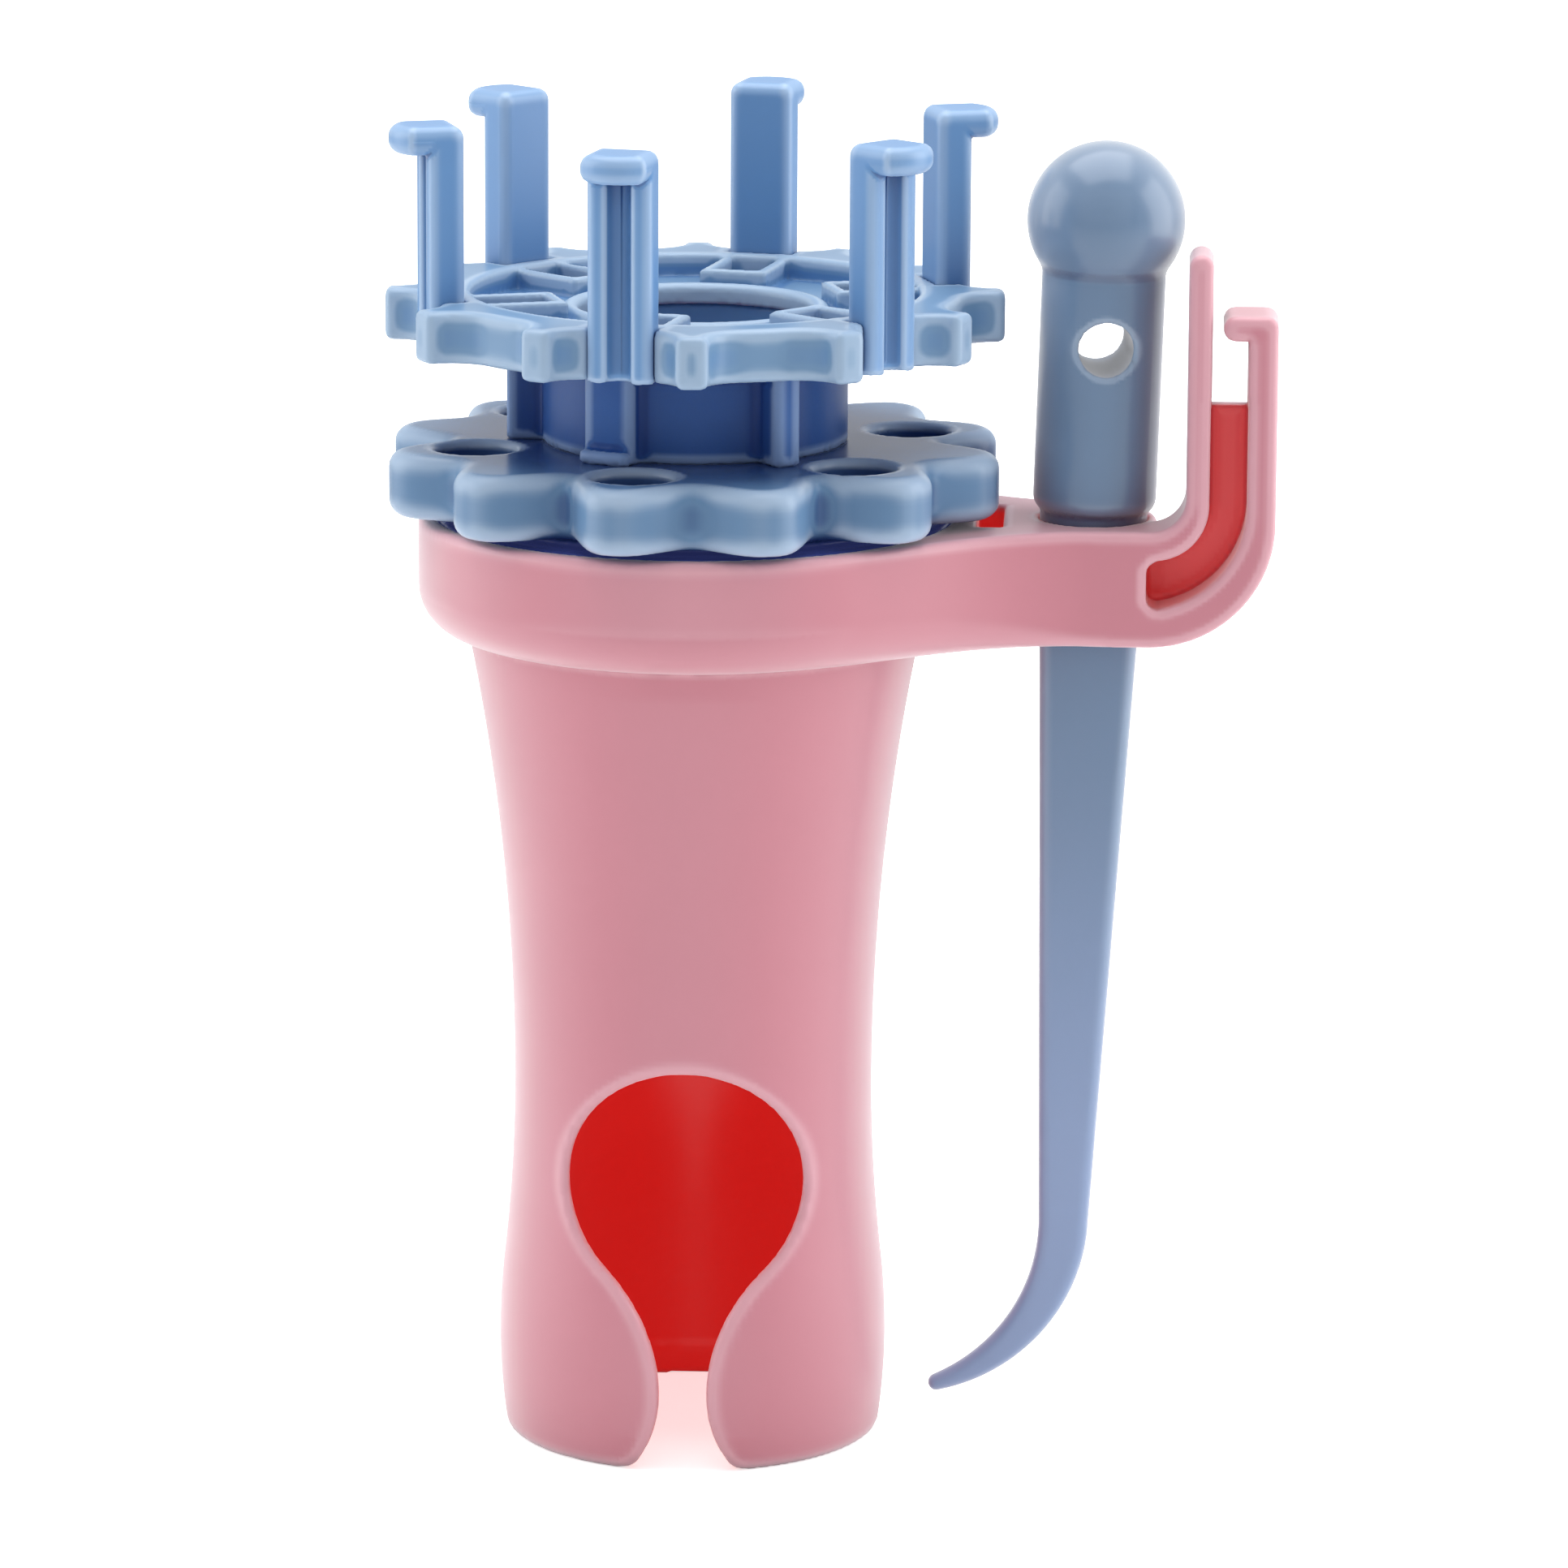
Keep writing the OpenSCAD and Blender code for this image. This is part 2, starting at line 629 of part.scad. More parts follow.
// One prong along +X with a rounded tip and filleted roots
module prong_outline() {
    fillet_y = prong_w / 2 + prong_fillet_r;
    fillet_x = sqrt(pow(crown_r + prong_fillet_r, 2) - fillet_y * fillet_y);
    touch = crown_r / (crown_r + prong_fillet_r) * [fillet_x, fillet_y];
    tip_x = prong_r - prong_tip_r;
    tip_y = prong_w / 2 - prong_tip_r;
    translate([dish_r, -prong_w / 2]) square([tip_x - dish_r, prong_w]);
    translate([dish_r, -tip_y]) square([prong_r - dish_r, 2 * tip_y]);
    for (side = [-1, 1]) {
        translate([tip_x, side * tip_y]) circle(prong_tip_r);
        difference() {
            polygon([[dish_r, 0], [touch[0], side * touch[1]], [fillet_x, side * prong_w / 2], [fillet_x, 0]]);
            translate([fillet_x, side * fillet_y]) circle(prong_fillet_r);
        }
    }
}

module crown_plan() {
    circle(crown_r);
    for (i = [0:PRONG_COUNT - 1]) rotate(i * PRONG_STEP) prong_outline();
}

// Seat of one peg along +X: a notch in the rim, a slot in the floor and a tunnel between them
module peg_seat() {
    slot_w = foot_w + 2 * seat_fit;
    notch_w = peg_w + 2 * seat_fit;
    translate([peg_in_r - seat_fit, -notch_w / 2, crown_z - cut])
        cube([prong_r - peg_in_r, notch_w, crown_h + 2 * cut]);
    translate([slot_in_r, -slot_w / 2, crown_z - cut])
        cube([dish_r - slot_in_r, slot_w, crown_h - dish_depth + slot_rib_h + 2 * cut]);
    translate([slot_in_r, -slot_w / 2, crown_z - cut])
        cube([peg_in_r - slot_in_r, slot_w, foot_t + seat_fit + cut]);
}

module crown() {
    rib_w = foot_w + 2 * seat_fit + 2 * slot_rib_t;
    color(BLUE)
    difference() {
        union() {
            difference() {
                translate([0, 0, crown_z]) rotate(head_turn) linear_extrude(crown_h) crown_plan();
                translate([0, 0, floor_top]) cylinder(h = dish_depth + cut, r = dish_r);
            }
            for (i = [0:PEG_COUNT - 1]) rotate(head_turn + PEG_PHASE + i * PEG_STEP)
                translate([slot_in_r - slot_rib_t, -rib_w / 2, floor_top - bond])
                cube([peg_in_r - slot_in_r, rib_w, slot_rib_h + bond]);
            translate([0, 0, floor_top]) rotate_extrude() translate([passage_r + lip_w / 2, 0]) circle(lip_w / 2);
        }
        translate([0, 0, crown_z - cut]) cylinder(h = crown_h + 2 * cut, r = passage_r);
        translate([0, 0, crown_z - cut])
            cylinder(h = hub_spigot_h + seat_fit + cut, r = hub_spigot_r + seat_fit);
        for (i = [0:PEG_COUNT - 1]) rotate(head_turn + PEG_PHASE + i * PEG_STEP) peg_seat();
    }
}

// Bar from x0 to x1, w wide, with all four corners rounded
module rounded_bar(x0, x1, w, r) {
    translate([x0 + r, -w / 2]) square([x1 - x0 - 2 * r, w]);
    translate([x0, -w / 2 + r]) square([x1 - x0, w - 2 * r]);
    for (x = [x0 + r, x1 - r], y = [-1, 1]) translate([x, y * (w / 2 - r)]) circle(r);
}

// One peg along +X: grooved post, outward hook and a foot that lies in the crown's slot
module peg_shape() {
    hook_r = peg_out_r + hook_reach;
    groove_x = peg_out_r - groove_depth + groove_w / 2;
    difference() {
        union() {
            translate([0, 0, crown_z]) linear_extrude(crown_h + peg_h - hook_t)
                rounded_bar(peg_in_r, peg_out_r, peg_w, peg_edge);
            intersection() {
                translate([0, 0, peg_top - hook_t - bond]) linear_extrude(hook_t + bond)
                    rounded_bar(peg_in_r, hook_r, peg_w, peg_edge);
                translate([hook_r - hook_nose_r, 0, peg_top - hook_t - cut]) union() {
                    cylinder(h = hook_t + 2 * cut, r = hook_nose_r);
                    translate([-peg_w - hook_nose_r, -peg_w, 0])
                        cube([peg_w + hook_nose_r, 2 * peg_w, hook_t + 2 * cut]);
                }
                across(-peg_w, peg_w) {
                    translate([0, peg_top - hook_t / 2]) rounded_bar(peg_in_r, hook_r, hook_t, hook_round);
                    translate([peg_in_r, peg_top - hook_t - bond]) square([peg_t, hook_t / 2 + bond]);
                }
            }
        }
        translate([groove_x, 0, crown_z - cut]) cylinder(h = crown_h + peg_h - hook_t + cut, r = groove_w / 2);
        translate([groove_x, -groove_w / 2, crown_z - cut])
            cube([groove_w, groove_w, crown_h + peg_h - hook_t + cut]);
    }
    translate([slot_in_r + seat_fit, -foot_w / 2, crown_z])
        cube([peg_in_r - slot_in_r + bond, foot_w, foot_t]);
}

module peg(number) {
    color(BLUE) rotate(head_turn + PEG_PHASE + (number - 1) * PEG_STEP) peg_shape();
}

// Front view of the blade: straight taper, then a curved hook that thins to a round tip
HOOK_TAPER = 1.5;
function hook_half_w(t) = (blade_end_w - (blade_end_w - tip_w) * pow(t, HOOK_TAPER)) / 2;
function hook_point(t, side) =
    let (a = t * pick_hook_angle, r = pick_hook_r + side * hook_half_w(t))
    [r * cos(a) - pick_hook_r, -blade_l - r * sin(a)];
module blade_outline() {
    steps = [for (i = [0:ARC_STEPS]) i / ARC_STEPS];
    polygon(concat(
        [[-blade_w / 2, -arm_h + bond], [-blade_w / 2, -arm_h - cut]],
        [for (t = steps) hook_point(t, -1)],
        [for (i = [ARC_STEPS:-1:0]) hook_point(steps[i], 1)],
        [[blade_w / 2, -arm_h - cut], [blade_w / 2, -arm_h + bond]]
    ));
    translate(hook_point(1, 0)) circle(tip_w / 2);
}

// Side view of the blade: it thins towards the tip
module blade_taper() {
    tip_z = -blade_l - pick_hook_r - tip_w;
    polygon([[-blade_t / 2, 0], [-tip_t / 2, tip_z], [tip_t / 2, tip_z], [blade_t / 2, 0]]);
}

module pick() {
    reach = pick_hook_r + blade_w;
    color(PICK_BLUE)
    at_pick() difference() {
        union() {
            translate([0, 0, handle_l]) sphere(ball_r);
            rotate_extrude() polygon(concat(
                [[0, rest_gap]],
                arc([handle_r - handle_edge, rest_gap + handle_edge], handle_edge, -90, 0, ARC_STEPS / 2),
                [[handle_r, handle_l], [0, handle_l]]
            ));
            translate([0, 0, -arm_h]) cylinder(h = arm_h + rest_gap + bond, r = shank_r);
            intersection() {
                across(-blade_t, blade_t) blade_outline();
                translate([-reach, 0, 0]) rotate([90, 0, 90]) linear_extrude(2 * reach) blade_taper();
            }
        }
        translate([0, 0, eyelet_z]) rotate([90, 0, eyelet_turn])
            cylinder(h = 2 * (handle_r + cut), r = eyelet_r, center = true);
    }
}

grip();
collar_arm();
dial();
hub();
crown();
peg(1);  // peg_1
peg(2);  // peg_2
peg(3);  // peg_3
peg(4);  // peg_4
peg(5);  // peg_5
peg(6);  // peg_6
pick();
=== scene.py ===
"""Looks of the knitting nancy: softly rounded moulded plastic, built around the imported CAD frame.

Each piece is one implicit surface, written in millimetres from the CAD part's sizes, a few of them
read anew from the picture. Its edges are rounded and its inner corners filleted, as moulded plastic
has them.
"""
import math

import bpy
import numpy as np
from mathutils import Euler, Matrix, Vector


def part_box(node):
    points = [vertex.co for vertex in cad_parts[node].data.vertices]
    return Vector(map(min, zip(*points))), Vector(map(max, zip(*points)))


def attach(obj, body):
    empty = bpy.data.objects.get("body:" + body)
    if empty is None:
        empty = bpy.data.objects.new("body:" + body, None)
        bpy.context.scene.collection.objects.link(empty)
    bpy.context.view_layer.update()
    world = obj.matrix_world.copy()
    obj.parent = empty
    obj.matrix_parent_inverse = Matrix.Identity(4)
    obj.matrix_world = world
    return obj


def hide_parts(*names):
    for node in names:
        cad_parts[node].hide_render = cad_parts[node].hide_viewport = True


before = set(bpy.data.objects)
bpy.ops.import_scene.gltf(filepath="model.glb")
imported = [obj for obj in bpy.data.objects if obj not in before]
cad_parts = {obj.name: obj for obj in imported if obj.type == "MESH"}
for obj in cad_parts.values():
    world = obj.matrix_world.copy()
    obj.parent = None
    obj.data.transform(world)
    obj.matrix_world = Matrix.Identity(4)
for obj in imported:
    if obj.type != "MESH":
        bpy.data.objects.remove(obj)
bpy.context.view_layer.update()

MM = 0.001
IMAGE_PX = 1932

# Sizes that several pieces share, in millimetres and radians
HEAD_TURN = math.radians(2.5)
PEG_STEP = math.radians(60)
PRONG_STEP = math.radians(30)
PEG_PHASE = PRONG_STEP / 2
COLLAR_TOP = 86.2
DIAL_Z = 87.0
HUB_Z = 93.0
CROWN_Z = 102.1
CROWN_TOP = 106.8
FLOOR_TOP = 104.7
PEG_TOP = 122.6
PICK_X = 36.35
PICK_LEAN = math.radians(1.7)
SEAT_FIT = 0.05
# How far the forms that make up one piece run into each other
LAP = 0.5


# Implicit surfaces: a field is negative inside the solid, and measures millimetres near its skin

def round_max(a, b, k):
    """Intersection of two fields, its convex edge rounded by k."""
    return np.minimum(np.maximum(a, b), -k) + np.hypot(np.maximum(a + k, 0), np.maximum(b + k, 0))


def round_min(a, b, k):
    """Union of two fields, its concave edge filleted by k."""
    return -round_max(-a, -b, k)


def round_cut(a, b, k):
    """Field a less field b, with the cut's edge rounded by k."""
    return round_max(a, -b, k)


def slab(v, low, high):
    return np.maximum(low - v, v - high)


def bar(u, v, half_u, half_v, r):
    """Rectangle with rounded corners, about the origin."""
    du = np.abs(u) - half_u + r
    dv = np.abs(v) - half_v + r
    return np.hypot(np.maximum(du, 0), np.maximum(dv, 0)) + np.minimum(np.maximum(du, dv), 0) - r


def polygon(points, u, v):
    """Signed distance to a closed outline."""
    nearest = np.inf
    sign = 1.0
    for (au, av), (bu, bv) in zip(points, np.roll(points, -1, axis=0)):
        eu, ev = bu - au, bv - av
        wu, wv = u - au, v - av
        t = np.clip((wu * eu + wv * ev) / (eu * eu + ev * ev), 0, 1)
        nearest = np.minimum(nearest, (wu - t * eu) ** 2 + (wv - t * ev) ** 2)
        above, below, left = v >= av, v < bv, eu * wv > ev * wu
        crosses = (above & below & left) | (~above & ~below & ~left)
        sign = np.where(crosses, -sign, sign)
    return sign * np.sqrt(nearest)


def arc(centre, r, start, end, steps):
    """Points along an arc, angles in degrees."""
    a = np.radians(np.linspace(start, end, steps))
    return np.stack([centre[0] + r * np.cos(a), centre[1] + r * np.sin(a)], axis=1)


def folded(x, y, step, phase):
    """Coordinates along and across the nearest of many like spokes."""
    rho = np.hypot(x, y)
    a = np.arctan2(y, x) - HEAD_TURN - phase
    a = (a + step / 2) % step - step / 2
    return rho * np.cos(a), rho * np.sin(a)


CORNERS = np.array([(i, j, k) for i in (0, 1) for j in (0, 1) for k in (0, 1)])
SETTLE_ROUNDS, LEAST_SLOPE_SQUARED, LEAST_LENGTH = 4, 0.1, 1e-9


def surface_net(field, low, high, step):
    """Quads around the zero surface of a field, one vertex per grid cell that it crosses."""
    axes = [np.arange(a - 2 * step, b + 3 * step, step) for a, b in zip(low, high)]
    shape = [len(a) for a in axes]
    value = np.array(np.broadcast_to(field(*np.ix_(*axes)), shape), dtype=np.float32)
    inside = value < 0
    cells = [n - 1 for n in shape]
    count = np.zeros(cells, np.int8)
    for i, j, k in CORNERS:
        count += inside[i:i + cells[0], j:j + cells[1], k:k + cells[2]]
    mixed = (count > 0) & (count < len(CORNERS))
    cell = np.argwhere(mixed)
    place = np.zeros((len(cell), 3))
    hits = np.zeros(len(cell))
    for corner in CORNERS:
        for axis in range(3):
            if corner[axis]:
                continue
            other = corner.copy()
            other[axis] = 1
            a = value[tuple((cell + corner).T)]
            b = value[tuple((cell + other).T)]
            crossed = (a < 0) != (b < 0)
            t = a[crossed] / (a[crossed] - b[crossed])
            place[crossed] += corner + t[:, None] * (other - corner)
            hits += crossed
    points = np.array([a[0] for a in axes]) + (cell + place / hits[:, None]) * step
    index = np.full(cells, -1)
    index[mixed] = np.arange(len(cell))
    quads = []
    for axis in range(3):
        near = [slice(None)] * 3
        far = [slice(None)] * 3
        near[axis], far[axis] = slice(None, -1), slice(1, None)
        edge = np.argwhere(inside[tuple(near)] != inside[tuple(far)])
        u, v = np.eye(3, dtype=int)[(axis + 1) % 3], np.eye(3, dtype=int)[(axis + 2) % 3]
        quad = np.stack([index[tuple(e.T)] for e in (edge - u - v, edge - v, edge, edge - u)], axis=1)
        outward = inside[tuple(edge.T)]
        quads.append(np.where(outward[:, None], quad, quad[:, ::-1]))
    return points, np.concatenate(quads)


def slope(field, points, reach):
    """Gradient of a field at the points, by central differences."""
    grad = np.zeros_like(points)
    for axis in range(3):
        move = np.zeros(3)
        move[axis] = reach
        grad[:, axis] = field(*(points + move).T) - field(*(points - move).T)
    return grad / (2 * reach)


def settle(field, points, step):
    """Moves the points on to the zero surface."""
    for _ in range(SETTLE_ROUNDS):
        grad = slope(field, points, step / 20)
        size = np.maximum((grad ** 2).sum(axis=1), LEAST_SLOPE_SQUARED)
        move = (field(*points.T) / size)[:, None] * grad
        length = np.maximum(np.linalg.norm(move, axis=1), LEAST_LENGTH)
        points = points - move * np.minimum(1, step / 2 / length)[:, None]
    return points


def convexity(field, points, reach):
    """How sharply the surface turns outwards, per millimetre: edges are positive, fillets negative."""
    total = -6 * field(*points.T)
    for axis in range(3):
        move = np.zeros(3)
        move[axis] = reach
        total += field(*(points + move).T) + field(*(points - move).T)
    return total / reach ** 2


def moulded(name, field, low, high, step, inside=None, place=None, edge_reach=1.0):
    """A mesh piece around a field. Its edges, and what counts as inside it, are kept as attributes."""
    points, quads = surface_net(field, low, high, step)
    points = settle(field, points, step)
    mesh = bpy.data.meshes.new(name)
    shown = points if place is None else place(points)
    mesh.from_pydata((shown * MM).tolist(), [], quads.tolist())
    mesh.polygons.foreach_set("use_smooth", np.ones(len(quads), bool))
    values = {"edge": edge_reach * convexity(field, points, edge_reach)}
    if inside:
        values["inside"] = inside(*points.T)
    for key, value in values.items():
        layer = mesh.attributes.new(key, "FLOAT", "POINT")
        layer.data.foreach_set("value", np.asarray(value, np.float32))
    mesh.update()
    piece = bpy.data.objects.new(name, mesh)
    bpy.context.scene.collection.objects.link(piece)
    return piece


def ramp(v, low, high):
    """0 below low, 1 above high, smooth between."""
    t = np.clip((v - low) / (high - low), 0, 1)
    return t * t * (3 - 2 * t)


# Grip: a waisted tube with a keyhole window

GRIP_H, GRIP_TOP = 73.4, 78.2
WAIST_R, WAIST_Z = 16.5, 33.5
HEEL_R, HEEL_Z = 17.9, 9.0
TOP_FLARE, RIM_TUCK = 3.8, 0.7
GRIP_WALL, LAND_R, LAND_H = 1.8, 15.4, 3.0
RIM_EDGE, BORE_EDGE, LAND_BLEND = 0.8, 0.4, 0.4
SPIGOT_R, SPIGOT_WALL, SPIGOT_ROOT = 19.5, 1.2, 2.0
WINDOW_R, WINDOW_Z, WINDOW_EDGE, WINDOW_EDGE_IN = 10.7, 26.5, 0.9, 0.6
NECK_W, NECK_Z, MOUTH_W, MOUTH_PAST_RIM = 4.3, 7.2, 9.5, 2.0
FLARE_STEPS, LIP_STEPS, ROUND_STEPS = 12, 20, 32
HEEL_SHARE = 0.7
SKIN_IN_COLLAR = 2.4
# Shares of the wall's depth where the inner face's painted red glow, which stands in for light through
# the pink wall, starts and is full
RED_FROM, RED_FULL = 0.25, 0.95


def sweep_r(dz, dr):
    return (dz * dz + dr * dr) / (2 * dr)


def sag(r, dz):
    return r - np.sqrt(np.maximum(r * r - dz * dz, 0))


def grip_radius(z):
    s_curve_r = sweep_r(WAIST_Z - HEEL_Z, HEEL_R - WAIST_R)
    s_curve_z = WAIST_Z - HEEL_SHARE * (WAIST_Z - HEEL_Z)
    return np.select(
        [z >= WAIST_Z, z >= s_curve_z, z >= HEEL_Z],
        [
            WAIST_R + sag(sweep_r(GRIP_H - WAIST_Z, TOP_FLARE), z - WAIST_Z),
            WAIST_R + sag(HEEL_SHARE * s_curve_r, WAIST_Z - z),
            HEEL_R - sag((1 - HEEL_SHARE) * s_curve_r, z - HEEL_Z),
        ],
        HEEL_R - sag(sweep_r(HEEL_Z, RIM_TUCK), HEEL_Z - z),
    )


def keyhole():
    """Outline of the window: a circle, ogee lips, a neck, and a mouth that runs past the rim."""
    half = NECK_W / 2
    lip_r = (half ** 2 + (WINDOW_Z - NECK_Z) ** 2 - WINDOW_R ** 2) / (2 * WINDOW_R - NECK_W)
    lip_x = lip_r + half
    turn = math.degrees(math.atan2(WINDOW_Z - NECK_Z, -lip_x))
    flare_r = sweep_r(NECK_Z, (MOUTH_W - NECK_W) / 2)
    past_rim = math.degrees(math.asin((NECK_Z + MOUTH_PAST_RIM) / flare_r))
    right = np.concatenate([
        arc((flare_r + half, NECK_Z), flare_r, 180 + past_rim, 180, FLARE_STEPS),
        arc((lip_x, NECK_Z), lip_r, 180, turn, LIP_STEPS)[1:],
        arc((0, WINDOW_Z), WINDOW_R, turn - 180, 90, ROUND_STEPS)[1:],
    ])
    return np.concatenate([right, right[-2::-1] * (-1, 1)])


KEYHOLE = keyhole()


def grip_field(x, y, z):
    rho = np.hypot(x, y)
    skin = np.maximum(round_max(rho - grip_radius(z), -z, RIM_EDGE), z - GRIP_H - SKIN_IN_COLLAR)
    spigot = np.maximum(rho - SPIGOT_R, slab(z, GRIP_H - SPIGOT_ROOT, GRIP_TOP))
    land = 1 - ramp(z, LAND_H - LAND_BLEND, LAND_H + LAND_BLEND)
    bore_r = np.minimum(grip_radius(z), SPIGOT_R + GRIP_WALL - SPIGOT_WALL) - GRIP_WALL
    bore = round_max(land * LAND_R + (1 - land) * bore_r - rho, -z, BORE_EDGE)
    window = np.maximum(polygon(KEYHOLE, x, z), y)
    return np.maximum(
        round_cut(np.minimum(skin, spigot), window, WINDOW_EDGE),
        round_cut(bore, window, WINDOW_EDGE_IN),
    )


def grip_red_glow(x, y, z):
    """0 on the outer skin, 1 on the inner face, across the wall between them. It masks the painted red
    glow, light through the pink wall painted on the inner face.
    """
    depth = (grip_radius(z) - np.hypot(x, y)) / GRIP_WALL
    return ramp(depth, RED_FROM, RED_FULL)


# Collar with the arm and the yarn guide

COLLAR_R, COLLAR_FOOT, COLLAR_ROUND = 25.2, 75.35, 4.4
SOCKET_R, SOCKET_EDGE, LEDGE_Z, LEDGE_TOP = 23.6, 0.5, 78.2, 80.2
STEM_HOLE_R = 13.4
ARM_HALF_W, ARM_Z, ARM_ROOT_X, ARM_END_X = 8.2, 75.6, 12.0, 42.1
ARM_BLEND, ARM_CORNER, ARM_EDGE = 12.0, 7.0, 0.7
# Stretch of the arm where the collar's round underside turns into the arm's flat one
TURN_FROM_X, TURN_TO_X = 18.0, 41.0
GUIDE_X, BEND_R, BEND_X, GUIDE_ROOT, GUIDE_TIP_R = 52.8, 11.4, 41.4, 3.5, 1.1
CHANNEL_OUT_X, CHANNEL_OUT_Z, CHANNEL_OUT_R = 50.1, 79.1, 9.5
CHANNEL_IN_X, CHANNEL_IN_Z, CHANNEL_IN_R = 46.9, 83.5, 5.1
CHANNEL_X, CHANNEL_END_R, CHANNEL_EDGE, CHANNEL_PAST_WEB = 41.2, 1.0, 0.35, 1.0
POST_X, HOOK_X = 44.7, 47.85
GUIDE_BACK_Y, WEB_T = -1.2, 2.0
WEB_TOP, POST_TOP, HOOK_TOP, HOOK_T = 97.2, 111.5, 106.0, 2.3
POST_FILLET = 3.2
PICK_HOLE_R, PICK_HOLE_EDGE = 4.95, 0.3
POCKET_X, POCKET_W, POCKET_HALF_L, POCKET_Z = 25.8, 2.4, 5.5, 78.2
POCKET_CORNER, POCKET_EDGE = 0.5, 0.4
# How red the channel and the pocket are, and where the red fades out at their mouths: a painted red
# glow, for light through the pink plastic
CHANNEL_RED, CHANNEL_FADE, CHANNEL_FADE_Y = 0.72, (-0.5, 0.2), (-8.0, -6.5)
POCKET_RED, POCKET_FADE_Z = 0.9, 0.8
RED_FADE = 0.4
# The collar's lower edge ends inside the grip's wall, so that their seam is one clean line
SEAM_HIDE = 0.9


def guide_bends(x, z):
    """Side views of the guide's three bends: its outer skin, the channel's outer and inner side."""
    skin = round_max(x - GUIDE_X, ARM_Z - z, BEND_R)
    outer = round_max(x - CHANNEL_OUT_X, CHANNEL_OUT_Z - z, CHANNEL_OUT_R)
    inner = round_max(x - CHANNEL_IN_X, CHANNEL_IN_Z - z, CHANNEL_IN_R)
    return skin, outer, inner


def pick_axis_distance(x, y, z):
    across = (x - PICK_X) * math.cos(PICK_LEAN) - (z - COLLAR_TOP) * math.sin(PICK_LEAN)
    return np.hypot(across, y)


def pocket_field(x, y, z):
    box = bar(x - POCKET_X - POCKET_W / 2, y, POCKET_W / 2, POCKET_HALF_L, POCKET_CORNER)
    return np.maximum(box, POCKET_Z - z)


def channel_field(x, y, z):
    _, outer, inner = guide_bends(x, z)
    run = round_max(np.maximum(outer, -inner), CHANNEL_X - x, CHANNEL_END_R)
    return np.maximum(np.maximum(run, y - GUIDE_BACK_Y + WEB_T), z - WEB_TOP - CHANNEL_PAST_WEB)


def collar_arm_field(x, y, z):
    rho = np.hypot(x, y)
    end = np.maximum(round_max(x - ARM_END_X, y - ARM_HALF_W, ARM_CORNER), -ARM_HALF_W - y)
    plan = round_min(rho - COLLAR_R, np.maximum(end, ARM_ROOT_X - x), ARM_BLEND)
    along_arm = ramp(x, TURN_FROM_X, TURN_TO_X)
    foot = COLLAR_FOOT + (ARM_Z - COLLAR_FOOT) * along_arm
    under = COLLAR_ROUND + (ARM_EDGE - COLLAR_ROUND) * along_arm
    body = np.maximum(round_max(plan, foot - z, under), round_max(plan, z - COLLAR_TOP, ARM_EDGE))

    skin, outer, inner = guide_bends(x, z)
    upright = BEND_X - GUIDE_ROOT - x
    post = round_max(slab(x, POST_X, CHANNEL_IN_X), z - POST_TOP, GUIDE_TIP_R)
    post = np.maximum(post, CHANNEL_IN_Z - z)
    root = np.maximum(np.maximum(inner, z - COLLAR_TOP), upright)
    post = np.maximum(round_min(root, post, POST_FILLET), inner)
    wall = np.maximum(round_max(np.maximum(skin, -outer), z - HOOK_TOP, GUIDE_TIP_R), upright)
    hook_mid = (HOOK_X + GUIDE_X) / 2
    hook = bar(x - hook_mid, z - HOOK_TOP + HOOK_T / 2, GUIDE_X - hook_mid, HOOK_T / 2, GUIDE_TIP_R)
    wall = np.minimum(wall, hook)
    thick = slab(y, -ARM_HALF_W, GUIDE_BACK_Y)
    guide = round_max(np.minimum(post, wall), thick, ARM_EDGE)
    web = np.maximum(np.maximum(outer - LAP, -inner - LAP), np.maximum(z - WEB_TOP, upright))
    web = np.maximum(web, slab(y, GUIDE_BACK_Y - WEB_T, GUIDE_BACK_Y))
    body = np.minimum(body, np.minimum(guide, web))

    body = round_cut(body, channel_field(x, y, z), CHANNEL_EDGE)
    body = round_cut(body, pocket_field(x, y, z), POCKET_EDGE)
    body = round_cut(body, pick_axis_distance(x, y, z) - PICK_HOLE_R, PICK_HOLE_EDGE)
    body = round_cut(body, np.maximum(rho - SOCKET_R, LEDGE_TOP - z), SOCKET_EDGE)
    body = np.maximum(body, STEM_HOLE_R - rho)
    return np.maximum(body, -np.maximum(rho - SPIGOT_R + SEAM_HIDE, z - LEDGE_Z))


def collar_arm_red_glow(x, y, z):
    """Deep red in the yarn channel, the pocket and the pick's hole: a painted glow, for light through
    the pink plastic.
    """
    channel = ramp(-channel_field(x, y - CHANNEL_EDGE, z), *CHANNEL_FADE)
    channel = CHANNEL_RED * channel * ramp(y, *CHANNEL_FADE_Y)
    pocket = POCKET_RED * ramp(-pocket_field(x, y, z), -RED_FADE, 0)
    pocket = pocket * ramp(-z, -COLLAR_TOP, POCKET_FADE_Z - COLLAR_TOP)
    hole = ramp(PICK_HOLE_R + RED_FADE - pick_axis_distance(x, y, z), 0, RED_FADE)
    return np.maximum(np.maximum(channel, pocket), hole)


# Dial: a lobed wheel on a flange that turns in the collar

DIAL_R, DEEP_NOTCH, SHALLOW_NOTCH, NOTCH_POWER = 28.4, 5.6, 3.8, 1.3
DIAL_EDGE, LEAN_STEP = 1.5, 0.01
RECESS_R, RECESS_RING_R, RECESS_Z, RECESS_EDGE = 3.7, 20.4, 88.0, 0.6
FLANGE_R, FLANGE_T, FLANGE_EDGE = 23.55, 1.2, 0.3
DIAL_NECK_R, SKIRT_Z, SKIRT_T = 21.0, 80.45, 2.0
STEM_R, SLEEVE_T = 13.0, 1.8
# The navy gap starts just under the wheel: a painted shade there, lifted by a painted glow
GAP_BELOW, GAP_FADE = 0.2, 0.3


